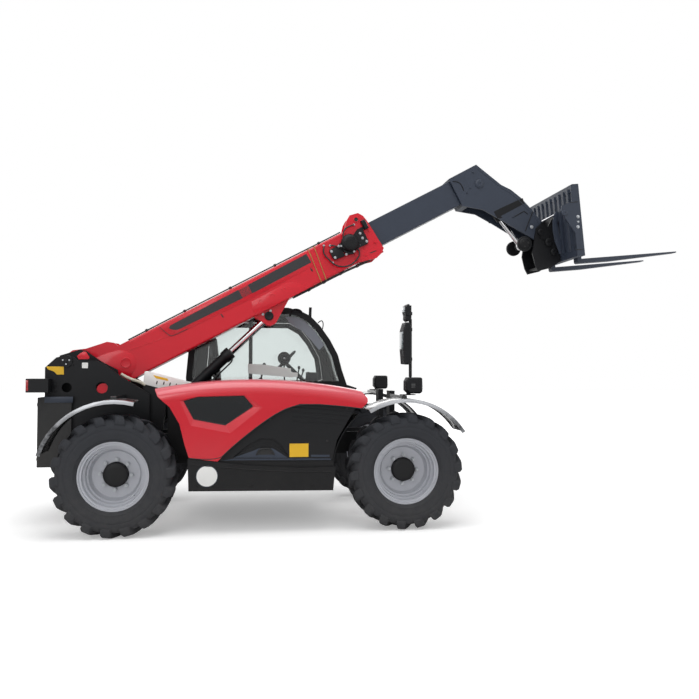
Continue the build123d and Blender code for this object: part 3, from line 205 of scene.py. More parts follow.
def loft(rings):
    """Closed form through rings of points, the first and last ring closed as flat ends."""
    piece = start(bpy.ops.mesh.primitive_circle_add, vertices=len(rings[0]), fill_type="NGON")
    for corner, at in zip(piece.data.vertices, rings[0]):
        corner.co = at
    for last, ring in zip(rings, rings[1:]):
        bpy.ops.object.mode_set(mode="EDIT")
        bpy.ops.mesh.extrude_region_move(TRANSFORM_OT_translate={"value": (0, 0, 0)})
        bpy.ops.object.mode_set(mode="OBJECT")
        for corner in [v for v in piece.data.vertices if v.select]:
            nearest = min(range(len(last)), key=lambda i: (Vector(last[i]) - corner.co).length)
            corner.co = ring[nearest]
    bpy.ops.object.mode_set(mode="EDIT")
    return close(piece, None)


def inset(piece, way, thickness, depth):
    """Inset the faces that look along a way."""
    pick(piece)
    mesh = piece.data
    for face in mesh.polygons:
        face.select = face.normal.dot(Vector(way)) > 0.9
    chosen = {i for face in mesh.polygons if face.select for i in face.vertices}
    for edge in mesh.edges:
        edge.select = False
    for corner in mesh.vertices:
        corner.select = corner.index in chosen
    bpy.ops.object.mode_set(mode="EDIT")
    bpy.ops.mesh.select_mode(type="FACE")
    bpy.ops.mesh.inset(thickness=thickness, depth=depth)
    bpy.ops.object.mode_set(mode="OBJECT")
    return piece


def join(pieces):
    """One mesh from one or several."""
    if not isinstance(pieces, list):
        return pieces
    pick(*pieces)
    if len(pieces) > 1:
        bpy.ops.object.join()
    return bpy.context.active_object


def ease(pieces, round_mm, segments=2):
    """Join pieces and round their sharp edges with a bevel, applied."""
    piece = join(pieces)
    pick(piece)
    bpy.ops.object.modifier_add(type="BEVEL")
    bevel = piece.modifiers[-1]
    bevel.width = round_mm / 1000
    bevel.segments = segments
    bevel.limit_method = "ANGLE"
    bevel.angle_limit = math.radians(35)
    bpy.ops.object.modifier_apply(modifier=bevel.name)
    return piece


def twin(piece, place):
    """Copy of a piece with its own mesh, moved by a matrix."""
    pick(piece)
    bpy.ops.object.duplicate()
    return settle(bpy.context.active_object, place)


def ring_of(piece, count, first=0.0):
    """Piece repeated round Y through the origin, joined to one mesh."""
    made = [twin(piece, Matrix.Rotation(math.radians(first) + math.tau * step / count, 4, "Y"))
            for step in range(count)]
    bpy.data.objects.remove(piece)
    return join(made)


def bolts(places, place=MACHINE, out=-1, way="Y"):
    """Hexagon heads on washers. Each place: X, Y, Z and the head's radius."""
    shift = Vector([way == "X", way == "Y", way == "Z"]) * out
    made = []
    for x, y, z, radius in places:
        at = Vector((x, y, z))
        made.append(drum(at + shift * 0.0015, radius * 1.45, 0.003, way, 20, place))
        made.append(drum(at + shift * (0.003 + radius * 0.35), radius, radius * 0.7, way, 6, place))
    return ease(made, 1.2, 1)


def fit(name, body, finish, pieces, round_mm=0.0, segments=2, smooth=40):
    """Finish a piece: joined, its edges rounded, named, coloured, on the body it moves with."""
    piece = ease(pieces, round_mm, segments) if round_mm else join(pieces)
    piece.name = name
    piece.data.materials.clear()
    piece.data.materials.append(MATERIAL[finish])
    pick(piece)
    bpy.ops.object.shade_smooth_by_angle(angle=math.radians(smooth))
    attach(piece, body)
    return piece


# ---------------------------------------------------------------- finishes
MATERIAL = {}

# Each finish: material, slot, colour or its setting, roughness, share and spacing in mm of the
# mottle, spacing and depth in mm of the surface's texture, and what else it has.
FINISHES = {
    # Two-pack polyurethane enamel, sprayed and baked: a deep gloss with faint orange peel.
    "red": ("crimson_enamel", "red_paint", "red", 0.34, 0.04, 900, 9, 0.12,
            dict(dusty=0.03, Coat_Weight=0.4, Coat_Roughness=0.1, Specular_IOR_Level=0.25)),
    # The same enamel on the moulded hood, with a painted highlight: what faces up is paled towards pink.
    "hood_red": ("sun_paled_crimson_enamel", "red_paint", "red", 0.3, 0.04, 900, 9, 0.12,
                 dict(dusty=0.03, faded=0.24, Coat_Weight=0.7, Coat_Roughness=0.1,
                      Specular_IOR_Level=0.25)),
    # Satin chassis enamel over blasted plate: broad soft highlights, a little dust low down.
    "black": ("satin_chassis_enamel", "black_paint", "black", 0.46, 0.12, 260, 6, 0.15,
              dict(dusty=0.05, Specular_IOR_Level=0.22)),
    # Blue-grey enamel on the boom's inner sections and tools, slightly chalky.
    "grey": ("blue_grey_enamel", "grey_paint", "grey", 0.42, 0.1, 300, 7, 0.12,
             dict(Specular_IOR_Level=0.35)),
    # Silver wheel lacquer: fine metallic flake under a satin clear coat.
    "rim": ("silver_wheel_lacquer", "rim_paint", "rim", 0.38, 0.05, 90, 5, 0.08,
            dict(Metallic=0.25, Coat_Weight=0.2, Coat_Roughness=0.25)),
    # Carbon-filled tyre rubber, moulded: matt, greyed where it has bloomed and dusted.
    "rubber": ("moulded_tyre_rubber", "tyre", "rubber", 0.82, 0.16, 70, 8, 0.5,
               dict(dusty=0.12, Specular_IOR_Level=0.35)),
    # Grained polypropylene, moulded: a dry sheen with a leathery grain.
    "plastic": ("grained_polypropylene", "black_plastic", "plastic", 0.5, 0.08, 160, 4, 0.3,
                dict(dusty=0.04, Specular_IOR_Level=0.25)),
    # Polished black ABS of the mudguards: sharp reflections with faint scuffs.
    "gloss": ("polished_black_abs", "black_plastic", "plastic", 0.24, 0.1, 140, 12, 0.08,
              dict(dusty=0.02, Coat_Weight=0.6, Coat_Roughness=0.12)),
    # Hard chrome on a ground rod: mirror-like with faint draw lines.
    "chrome": ("hard_chrome", "chrome", "#D4D4D6", 0.12, 0.02, 60, 2, 0.02, dict(Metallic=1.0)),
    # Sand-cast iron in thin black primer: rough and uneven.
    "iron": ("sand_cast_iron", "iron", "#1A1A1B", 0.68, 0.25, 80, 5, 0.8, dict(dusty=0.12)),
    # Zinc-plated fasteners: bright, faintly blue.
    "zinc": ("zinc_plate", "chrome", "#AEB1B5", 0.3, 0.08, 20, 2, 0.05, dict(Metallic=0.9)),
    # White vinyl and white enamel on small plates and covers: clean, with a low sheen.
    "white": ("white_enamel", "white_paint", "#E6E6E4", 0.4, 0.03, 150, 4, 0.05, {}),
    # Yellow vinyl film: flat and bright.
    "yellow": ("yellow_vinyl", "white_paint", "#E2B21C", 0.42, 0.03, 90, 3, 0.03, {}),
    # Black vinyl film along the boom's side: flat and even.
    "film": ("black_vinyl_film", "black_plastic", "#1C1C20", 0.42, 0.05, 500, 4, 0.03, {}),
    # Braided rubber hose and rubber seals: dull, with a fine weave.
    "hose": ("hose_rubber", "black_plastic", "#161617", 0.6, 0.1, 40, 3, 0.2, {}),
    # Yellow-passivated steel straps round the boom.
    "strap": ("passivated_strap", "chrome", "#A98A4E", 0.4, 0.15, 30, 3, 0.1,
              dict(Metallic=0.6)),
    # Red polycarbonate lens over a lamp: deep and shiny.
    "red_lens": ("red_polycarbonate_lens", "lamp_plastic", "#A30D14", 0.15, 0.05, 30, 6, 0.4,
                 dict(Coat_Weight=0.6)),
    # Amber polycarbonate lens of the direction lamps: shiny, finely uneven.
    "amber_lens": ("amber_polycarbonate_lens", "lamp_plastic", "#C8640E", 0.15, 0.05, 30, 6,
                   0.4, dict(Coat_Weight=0.6)),
    # Clear fluted lens over a bright reflector, seen as one silvery surface.
    "clear_lens": ("fluted_clear_lens", "lamp_plastic", "#C9CED2", 0.1, 0.1, 12, 7, 0.8,
                   dict(Metallic=0.5, Coat_Weight=1.0)),
    # Painted highlight on the mudguards' edges: a light strip for the sky's reflection, bright on top,
    # darkened to black towards its lower ends as painted shade.
    "edge": ("dulled_aluminium_strip", "black_plastic", "#C2C4C8", 0.36, 0.12, 60, 4, 0.08,
             dict(Metallic=0.45, dusty=1.7, dust="#18191B", dust_z=(1.00, 1.31))),
    # Cream silicone tube: pale, with a waxy sheen.
    "cream": ("cream_silicone_tube", "black_plastic", "#B9B3A4", 0.5, 0.08, 40, 4, 0.1, {}),
    # Silvered mirror glass: sharp, slightly dark reflections.
    "mirror": ("silvered_mirror_glass", "chrome", "#8E9498", 0.04, 0.01, 200, 20, 0.01,
               dict(Metallic=1.0)),
    # Woven polyester seat cloth, soft and matt.
    "cloth": ("woven_seat_cloth", "seat_fabric", "#232326", 0.9, 0.25, 9, 5, 0.8,
              dict(Sheen_Weight=0.3)),
    # Toughened clear cab glass, faintly green.
    "glass": ("toughened_glass", "glass", "#E9EEED", 0.03, 0.02, 400, 60, 0.02,
              dict(Transmission_Weight=1.0, IOR=1.45)),
    # Smoked acrylic in the hood: clear but dark.
    "smoked": ("smoked_acrylic", "dark_glass", "#3A3E42", 0.06, 0.05, 300, 60, 0.02,
               dict(Transmission_Weight=0.75, IOR=1.49)),
    # Grey sun-blind film stuck on the side of the cab's glass: even, with a soft shine.
    "tint": ("grey_blind_film", "dark_glass", "#7D858F", 0.2, 0.05, 200, 5, 0.03, {}),
}

# CAD nodes that stay: their finish and the width in millimetres of the round on their edges.
CAD_FINISH = {
    "chassis_frame": ("black", 3), "boom_support": ("black", 3), "counterweight": ("iron", 8),
    "axle_front": ("iron", 4), "axle_rear": ("iron", 4), "engine_block": ("iron", 8),
    "side_skirt": ("black", 5), "side_panel": ("plastic", 4), "fuel_tank": ("plastic", 18),
    "hydraulic_tank": ("black", 6), "lamps": ("plastic", 6), "mirrors": ("plastic", 10),
    "cab_frame": ("black", 5), "cab_roof": ("plastic", 8), "cab_glass": ("glass", 0),
    "cab_door": ("black", 4), "cab_door_glass": ("glass", 0), "seat": ("cloth", 20),
    "dashboard": ("plastic", 8), "mudguards": ("gloss", 3), "engine_hood": ("hood_red", 6),
    "hood_window": ("smoked", 0), "boom_outer": ("red", 3), "boom_valve_block": ("plastic", 6),
    "boom_inner": ("grey", 6), "gooseneck": ("grey", 4), "tool_carrier": ("black", 3),
    "fork_frame": ("grey", 3), "forks": ("grey", 3), "lift_rod": ("chrome", 1),
    "lift_barrel": ("black", 3), "tilt_rod": ("chrome", 1), "tilt_barrel": ("black", 3),
}
for end in ENDS:
    for hand, _ in HANDS:
        CAD_FINISH[f"rim_{end}_{hand}"] = ("rim", 2)
        CAD_FINISH[f"knuckle_{end}_{hand}"] = ("iron", 5)


def linear(hex_colour):
    """sRGB hex to linear RGBA."""
    channels = [int(hex_colour[i:i + 2], 16) / 255 for i in (1, 3, 5)]
    return [c / 12.92 if c <= 0.04045 else ((c + 0.055) / 1.055) ** 2.4 for c in channels] + [1.0]


def node(tree, kind, values=None, links=None, **settings):
    """Add a shader node with its settings, socket values and incoming links."""
    made = tree.nodes.new("ShaderNode" + kind)
    for key, value in settings.items():
        setattr(made, key, value)
    for key, value in (values or {}).items():
        made.inputs[key].default_value = value
    for key, socket in (links or {}).items():
        tree.links.new(socket, made.inputs[key])
    return made


def finish_of(name, colour, roughness, mottle, mottle_mm, grain_mm, bump_mm, dusty=0.0,
              dust="#8C857A", dust_z=(0.25, 1.1), faded=0.0, **sockets):
    """Material with a soft mottle, roughness that follows it, a fine grain and two mixed-in colours.

    dusty is how far dust covers what is between the two heights of
    dust_z: road dust in most finishes, painted shade on the mudguards' edge strips.
    faded is how far what faces up is paled towards pink, a painted highlight.
    """
    material = bpy.data.materials.new(name)
    material.use_nodes = True
    tree = material.node_tree
    shader = tree.nodes["Principled BSDF"]
    for key, value in sockets.items():
        shader.inputs[key.replace("_", " ")].default_value = value
    where = node(tree, "TexCoord").outputs["Object"]
    cloud = node(tree, "TexNoise", {"Scale": 1000 / mottle_mm, "Detail": 4.0, "Roughness": 0.6},
                 {"Vector": where}).outputs["Fac"]
    base = linear(colour)
    dark = [c * (1 - mottle) for c in base[:3]] + [1]
    light = [min(1, c * (1 + mottle) + mottle * 0.01) for c in base[:3]] + [1]
    out = node(tree, "Mix", {6: dark, 7: light}, {0: cloud}, data_type="RGBA").outputs[2]
    # Mixed in low down: road dust in most finishes, painted shade on the mudguards' edge strips.
    if dusty:
        height = node(tree, "SeparateXYZ", links={"Vector": where}).outputs["Z"]
        low = node(tree, "MapRange", {"From Min": dust_z[0], "From Max": dust_z[1],
                                      "To Min": dusty, "To Max": 0.0}, {"Value": height})
        patchy = node(tree, "Math", links={0: low.outputs[0], 1: cloud}, operation="MULTIPLY")
        out = node(tree, "Mix", {7: linear(dust)}, {0: patchy.outputs[0], 6: out},
                   data_type="RGBA").outputs[2]
    # Painted highlight: faces that look up are mixed towards pale pink, standing in for the sky's light on the
    # hood's crest.
    if faded:
        facing = node(tree, "NewGeometry").outputs["Normal"]
        up = node(tree, "SeparateXYZ", links={"Vector": facing}).outputs["Z"]
        share = node(tree, "MapRange", {"From Min": 0.1, "From Max": 0.7, "To Max": faded},
                     {"Value": up})
        out = node(tree, "Mix", {7: linear("#F2A6B4")}, {0: share.outputs[0], 6: out},
                   data_type="RGBA").outputs[2]
    tree.links.new(out, shader.inputs["Base Color"])
    rough = node(tree, "MapRange", {"To Min": roughness * 0.85, "To Max": min(1, roughness * 1.18)},
                 {"Value": cloud})
    tree.links.new(rough.outputs[0], shader.inputs["Roughness"])
    grain = node(tree, "TexNoise", {"Scale": 1000 / grain_mm, "Detail": 2.0}, {"Vector": where})
    bump = node(tree, "Bump", {"Distance": bump_mm / 1000, "Strength": 0.6},
                {"Height": grain.outputs["Fac"]})
    tree.links.new(bump.outputs["Normal"], shader.inputs["Normal"])
    return material


# ---------------------------------------------------------------- sizes and colours
class LookSettings(bpy.types.PropertyGroup):
    red: StringProperty(name="Red", description="Body enamel, sRGB hex", default="#C80D24")
    black: StringProperty(name="Black", description="Chassis enamel, sRGB hex", default="#0F1013")
    grey: StringProperty(name="Grey", description="Inner boom enamel, sRGB hex", default="#2F3643")
    rim: StringProperty(name="Rims", description="Wheel lacquer, sRGB hex", default="#ADAFB6")
    rubber: StringProperty(name="Rubber", description="Tyre rubber, sRGB hex", default="#2B2D32")
    plastic: StringProperty(name="Plastic", description="Moulded plastic, sRGB hex",
                            default="#0F1013")


class TyreSettings(bpy.types.PropertyGroup):
    lugs: IntProperty(name="Lugs", description="Tread bars on each side of a tyre", default=18)
    lug_slant: FloatProperty(name="Lug slant", description="Turn of a bar from square across",
                             default=math.radians(34), subtype="ANGLE")


class StageSettings(bpy.types.PropertyGroup):
    floor: FloatProperty(name="Floor", description="Width of the floor", default=80, unit="LENGTH")
    distance: FloatProperty(name="Camera Y", description="Camera's distance from the centre plane",
                            default=8.177, unit="LENGTH")
    height: FloatProperty(name="Camera height", description="Camera above the ground",
                          default=1.624, unit="LENGTH")
    ahead: FloatProperty(name="Camera X", description="Camera forward of the rear axle",
                         default=1.212, unit="LENGTH")
    yaw: FloatProperty(name="Yaw", description="Camera's turn towards the forks",
                       default=math.radians(8.49), subtype="ANGLE")
    pitch: FloatProperty(name="Pitch", description="Camera's tilt upwards",
                         default=math.radians(1.51), subtype="ANGLE")
    roll: FloatProperty(name="Roll", description="Camera's roll", default=math.radians(-0.15),
                        subtype="ANGLE")
    lens: FloatProperty(name="Lens", description="Focal length on a 36 mm sensor", default=36.79)


# ---------------------------------------------------------------- stage
# Lamps: name, place, aim, size in metres, power in watts.
LAMPS = (
    ("soft_overhead", (-1.5, -2.5, 9.0), (0, 0, 1.5), 7.0, 420),
    ("soft_key", (-6.0, -9.0, 6.0), (0, 0, 1.2), 5.0, 210),
    ("soft_fill", (8.0, -6.0, 4.0), (0, 0, 1.5), 5.0, 70),
    ("soft_back", (2.0, 9.0, 6.0), (0, 0, 1.5), 6.0, 200),
)


class TELEHANDLER_OT_stage(bpy.types.Operator):
    """Pale floor, soft studio light and the camera"""

    bl_idname = "telehandler.stage"
    bl_label = "Stage"

    def execute(self, context):
        stage = context.scene.telehandler_stage
        floor = start(bpy.ops.mesh.primitive_plane_add, size=stage.floor)
        floor.name = "floor"
        paper = bpy.data.materials.new("white_studio_paper")
        paper.use_nodes = True
        tree = paper.node_tree
        shader = tree.nodes["Principled BSDF"]
        shader.inputs["Base Color"].default_value = linear("#F8F8F8")
        shader.inputs["Roughness"].default_value = 0.95
        shader.inputs["Specular IOR Level"].default_value = 0.1
        shader.inputs["Emission Color"].default_value = (1, 1, 1, 1)
        # Seen directly, the paper fades to plain white away from the machine.
        where = node(tree, "TexCoord").outputs["Object"]
        away = node(tree, "VectorMath", links={0: where}, operation="LENGTH").outputs["Value"]
        glow = node(tree, "MapRange", {"From Min": 3.5, "From Max": 12.0, "To Min": 0.3},
                    {"Value": away}).outputs[0]
        seen = node(tree, "LightPath").outputs["Is Camera Ray"]
        glow = node(tree, "Math", links={0: glow, 1: seen}, operation="MULTIPLY").outputs[0]
        tree.links.new(glow, shader.inputs["Emission Strength"])
        floor.data.materials.append(paper)

        # Seen by the camera, and by what reflects or refracts, the world is plain white.
        world = bpy.data.worlds.new("studio")
        world.use_nodes = True
        context.scene.world = world
        tree = world.node_tree
        ray = node(tree, "LightPath").outputs
        seen = ray["Is Camera Ray"]
        for other in ("Is Glossy Ray", "Is Transmission Ray"):
            either = node(tree, "Math", links={0: seen, 1: ray[other]}, operation="MAXIMUM")
            seen = either.outputs[0]
        strength = node(tree, "MapRange", {"To Min": 0.42}, {"Value": seen})
        sky = tree.nodes["Background"]
        sky.inputs["Color"].default_value = (1, 1, 1, 1)
        tree.links.new(strength.outputs[0], sky.inputs["Strength"])

        for name, place, aim, size, power in LAMPS:
            lamp = start(bpy.ops.object.light_add, type="AREA", location=place)
            lamp.name = name
            lamp.data.size = size
            lamp.data.energy = power
            lamp.rotation_euler = (Vector(aim) - Vector(place)).to_track_quat("-Z", "Y").to_euler()

        camera = start(bpy.ops.object.camera_add,
                       location=(AXLE_X + stage.ahead, -stage.distance, stage.height))
        camera.name = "camera"
        camera.data.sensor_width = 36.0
        camera.data.lens = stage.lens
        flat = math.cos(stage.pitch)
        way = Vector((math.sin(stage.yaw) * flat, math.cos(stage.yaw) * flat,
                      math.sin(stage.pitch)))
        turn = way.to_track_quat("-Z", "Y").to_matrix().to_4x4()
        camera.rotation_euler = (turn @ Matrix.Rotation(-stage.roll, 4, "Z")).to_euler()
        context.scene.camera = camera
        context.scene.view_settings.view_transform = "Standard"
        return {"FINISHED"}


class TELEHANDLER_OT_finishes(bpy.types.Operator):
    """Finishes of the CAD pieces that stay, with their edges rounded"""

    bl_idname = "telehandler.finishes"
    bl_label = "Finishes"

    def execute(self, context):
        look = context.scene.telehandler_look
        for key, (name, _, colour, *numbers, more) in FINISHES.items():
            MATERIAL[key] = finish_of(name, getattr(look, colour, colour), *numbers, **more)
        for name, (finish, round_mm) in CAD_FINISH.items():
            piece = frame["nodes"][name]
            piece.data.materials.clear()
            piece.data.materials.append(MATERIAL[finish])
            if round_mm:
                weld = piece.modifiers.new("weld", "WELD")
                weld.merge_threshold = 0.0001
                bevel = piece.modifiers.new("round", "BEVEL")
                bevel.width = round_mm / 1000
                bevel.segments = 2
                bevel.limit_method = "ANGLE"
                bevel.angle_limit = math.radians(35)
                bevel.harden_normals = True
        return {"FINISHED"}


# ---------------------------------------------------------------- wheels
TYRE_LOW, TYRE_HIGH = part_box("tyre_rear_left")
TREAD_R = (TYRE_HIGH.z - TYRE_LOW.z) / 2
HALF_W = (TYRE_HIGH.y - TYRE_LOW.y) / 2
# Tyre's section: distance in from the shoulder, radius as a share of the tread's.
CARCASS = (
    (0.0400, 0.5645), (0.0290, 0.5740), (0.0150, 0.5980), (0.0060, 0.6120), (0.0030, 0.6190),
    (0.0055, 0.6240), (0.0040, 0.6500), (0.0015, 0.7000), (0.0005, 0.7420), (0.0040, 0.7550),
    (0.0015, 0.7650), (0.0030, 0.8000), (0.0090, 0.8350), (0.0200, 0.8680), (0.0370, 0.8960),
    (0.0600, 0.9120), (0.1250, 0.9220), (0.2050, 0.9250),
)
# Tread bar from the tyre's middle to its shoulder: place across and radius of its crown, place
# across and radius of its root, and its half width at the crown.
BAR = (
    (-0.018, 0.579, -0.018, 0.538, 0.022), (0.060, 0.5865, 0.060, 0.538, 0.025),
    (0.140, 0.5865, 0.140, 0.536, 0.031), (0.180, 0.578, 0.165, 0.528, 0.037),
    (0.199, 0.553, 0.180, 0.510, 0.044), (0.2048, 0.507, 0.192, 0.484, 0.050),
)
BAR_MID = 0.092          # where a bar crosses its own radius, from the tyre's middle
BAR_FLARE = 0.010        # how much wider a bar's root is, each way
DISC_Y = 0.937           # outer face of a wheel's disc, from the centre plane
STUD_RING = 0.147
# Drums of a wheel nut: height over the disc, radius, depth, sides.
NUT = ((0.003, 0.023, 0.006, 20), (0.018, 0.0205, 0.026, 6), (0.026, 0.010, 0.044, 12))
HUB_CAP = (
    (0.0, 0.0), (0.0, 0.1215), (0.012, 0.1215), (0.016, 0.1195), (0.040, 0.1190),
    (0.046, 0.1150), (0.053, 0.1000), (0.0575, 0.0700), (0.0595, 0.0300), (0.0600, 0.0),
)


def tread_bar(side, slant):
    """Tread bar at the top of a tyre that stands at the origin."""
    rings = []
    for crown_y, crown_r, root_y, root_r, half in BAR:
        ring = []
        for y, radius, reach in ((root_y, root_r, -half - BAR_FLARE), (crown_y, crown_r, -half),
                                 (crown_y, crown_r, half), (root_y, root_r, half + BAR_FLARE)):
            turn = ((y - BAR_MID) * math.tan(slant) + reach) / TREAD_R
            ring.append((radius * math.sin(turn), side * y, radius * math.cos(turn)))
        rings.append(ring)
    return ease(loft(rings), 4)


class TELEHANDLER_OT_tyres(bpy.types.Operator):
    """Four tyres with a ribbed sidewall and slanted tread bars"""

    bl_idname = "telehandler.tyres"
    bl_label = "Tyres"

    def execute(self, context):
        tyre = context.scene.telehandler_tyre
        near = [(-HALF_W + drop, share * TREAD_R) for drop, share in CARCASS]
        far = [(-y, radius) for y, radius in reversed(near)]
        pieces = [turned(near + far, (0, 0, 0), steps=96, place=None)]
        pitch = 360 / tyre.lugs
        for side in (-1, 1):
            # The left half's bars stand half a pitch on from the right half's.
            first = pitch * (side + 1) / 4
            pieces.append(ring_of(tread_bar(side, tyre.lug_slant), tyre.lugs, first))
        whole = join(pieces)
        for end in ENDS:
            for hand, _ in HANDS:
                name = f"tyre_{end}_{hand}"
                copy = twin(whole, Matrix.Translation(middle(name)))
                fit("dressed_" + name, f"wheel_{end}_{hand}", "rubber", copy, smooth=35)
                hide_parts(name)
        bpy.data.objects.remove(whole)
        return {"FINISHED"}


class TELEHANDLER_OT_wheel_hubs(bpy.types.Operator):
    """Domed hub caps, wheel nuts on their studs and tyre valves"""

    bl_idname = "telehandler.wheel_hubs"
    bl_label = "Wheel hubs"

    def execute(self, context):
        for hand, side in HANDS:
            face = side * DISC_Y
            nut = [drum((0, face + side * high, STUD_RING), radius, depth, sides=sides, place=None)
                   for high, radius, depth, sides in NUT]
            nuts = ring_of(ease(nut, 1.2, 1), 8, 3.0)
            cap = turned(HUB_CAP, (0, face, 0), steps=64, place=None, side=side)
            stem = tube([(x, face + side * y, -x) for x, y in ((0.19, 0.09), (0.19, 0.125),
                                                               (0.182, 0.160))], 0.006, None)
            for end in ENDS:
                at = middle(f"rim_{end}_{hand}")
                place = Matrix.Translation((at.x, 0, at.z))
                for name, piece, finish, slot in (("wheel_nuts", nuts, "zinc", "rim_paint"),
                                                  ("hub_cap", cap, "plastic", "black_paint"),
                                                  ("tyre_valve", stem, "zinc", "chrome")):
                    fit(f"{name}_{end}_{hand}", f"wheel_{end}_{hand}", finish,
                        twin(piece, place))
            for piece in (nuts, cap, stem):
                bpy.data.objects.remove(piece)
        return {"FINISHED"}


# ---------------------------------------------------------------- boom
BOOM_Y = 0.150           # side face of the outer boom, from the centre plane
PLATE = 0.003            # how far a plate stands proud
FILM = 0.0012            # vinyl film, drawn thick enough to show its edge
# Raised plates on the boom's side: its foot, its upper band, the lift cylinder's lug.
BOOM_PLATES = (
    ((-0.050, -0.030), (0.200, -0.076), (0.360, -0.090), (0.481, -0.118), (0.548, -0.165),
     (0.588, -0.232), (0.593, -0.301), (0.566, -0.352), (0.520, -0.392), (0.440, -0.438),
     (0.300, -0.420), (0.150, -0.230)),
    ((0.968, -0.100), (2.830, -0.086), (2.830, -0.262), (1.995, -0.277), (1.060, -0.252),
     (1.034, -0.240), (1.008, -0.206)),
    ((1.998, -0.305), (2.440, -0.298), (2.500, -0.316), (2.690, -0.462), (1.952, -0.462),
     (1.975, -0.380)),
)
# Films along the boom's side, the rear one with a rounded end, and the line round that end.
BOOM_FILMS = (
    ((1.062, -0.150), (1.086, -0.133), (1.110, -0.131), (1.930, -0.122), (1.930, -0.2265),
     (1.180, -0.214), (1.135, -0.210), (1.105, -0.196), (1.075, -0.172)),
    ((2.052, -0.121), (2.795, -0.108), (2.800, -0.2115), (2.795, -0.2185), (2.052, -0.2280)),
)
FILM_LINE = ((0.982, -0.098), (1.020, -0.206), (1.042, -0.236), (1.070, -0.248), (1.240, -0.252))


class TELEHANDLER_OT_boom_side(bpy.types.Operator):
    """Plates, films, slots and bands on the outer boom"""

    bl_idname = "telehandler.boom_side"
    bl_label = "Boom side"

    def execute(self, context):
        for hand, side in HANDS:
            face = side * BOOM_Y
            plates = [sheet(points, face - side * 0.002, side * (PLATE + 0.002), BOOM)
                      for points in BOOM_PLATES]
            plates += [
                tube([(0.575, face, -0.172), (0.80, face, -0.200), (1.030, face, -0.226)],
                     0.003, BOOM),
                turned(((0, 0), (0, 0.058), (0.008, 0.056), (0.010, 0.050), (0.006, 0.046),
                        (0.006, 0)), (0.487, face, -0.275), steps=40, place=BOOM, side=side)]
            fit("boom_plates_" + hand, "boom", "red", plates, 2)
            top, thick = face + side * (PLATE - 0.0005), side * (FILM + 0.0005)
            films = [sheet(points, top, thick, BOOM) for points in BOOM_FILMS]
            films.append(tube([(u, face + side * PLATE, v) for u, v in FILM_LINE], 0.0035, BOOM))
            fit("boom_film_" + hand, "boom", "film", films)
            # Fine slanted lines between the two films.
            stripe = sheet(((1.934, -0.124), (1.9395, -0.124), (1.9395, -0.2245), (1.934, -0.2245)),
                           top, thick, BOOM)
            stripes = [twin(stripe, Matrix.Translation(BOOM_WAY * 0.0102 * count))
                       for count in range(12)]
            bpy.data.objects.remove(stripe)
            fit("boom_stripes_" + hand, "boom", "film", stripes)
        # Dark sheets for two slots in the boom's right side: painted shade where the slots are open.
        slots = [sheet(((u - 0.008, v + 0.021), (u + 0.006, v + 0.021), (u + 0.009, v - 0.021),
                        (u - 0.005, v - 0.021)), -BOOM_Y - 0.004, 0.006, BOOM)
                 for u, v in ((1.636, -0.296), (2.762, -0.293))]
        fit("boom_slots", "boom", "hose", slots, 1.5, 1)
        # Half-round pressed marks over the lift lug.
        marks = [tube([(u + 0.024 * math.cos(a), -BOOM_Y - PLATE, v + 0.020 * math.sin(a))
                       for a in (-0.5, 0.1, 0.7, 1.3, 1.9, 2.5, 3.1, 3.6)], 0.0035, BOOM)
                 for u, v in ((2.088, -0.350), (2.238, -0.352), (2.379, -0.349))]
        fit("boom_marks", "boom", "red", marks)
        # Two slanted bands round the boom.
        for name, top_u, low_u in (("front", 2.912, 2.858), ("rear", 2.838, 2.797)):
            near, far = (top_u, -0.0695), (low_u, -0.4675)
            band = [(u, y, v) for y, (u, v) in ((-0.1545, near), (-0.1545, far), (0.1545, far),
                                                (0.1545, near))]
            fit("boom_band_" + name, "boom", "strap",
                tube(band, 0.0045, BOOM, closed=True, order=2))
        # Pipe and its clips along the top edge.
        pipe = tube([(u, -0.128, v) for u, v in ((0.62, -0.063), (1.2, -0.060), (2.6, -0.060),
                                                 (3.10, -0.062), (3.26, -0.060))], 0.0075, BOOM)
        clips = [block((u - 0.014, u + 0.014), (-0.142, -0.112), (-0.0735, -0.046), BOOM)
                 for u in (0.84, 1.30, 1.86, 2.42, 2.98)]
        fit("boom_top_pipe", "boom", "hose", [pipe, ease(clips, 4)])
        # Lines and their clamps under the boom, up to its head.
        runs = [tube([(u, y, v) for u, v in ((2.45, -0.470), (2.70, -0.474), (3.10, -0.474),
                                             (3.34, -0.488), (3.46, -0.496), (3.53, -0.480))],
                     0.0065, BOOM) for y in (-0.120, -0.098, -0.076, 0.060, 0.090)]
        clamps = [block((u - 0.016, u + 0.016), (-0.134, 0.104), (v - 0.012, v + 0.012), BOOM)
                  for u, v in ((2.66, -0.473), (2.86, -0.474), (3.08, -0.474), (3.30, -0.485))]
        fit("boom_lower_lines", "boom", "hose", runs + [ease(clamps, 5)])
        return {"FINISHED"}


HEAD_Y = -0.167          # outer face of the boom head's plate
PIPE_Y = HEAD_Y - 0.028  # the motor's lines, in front of it
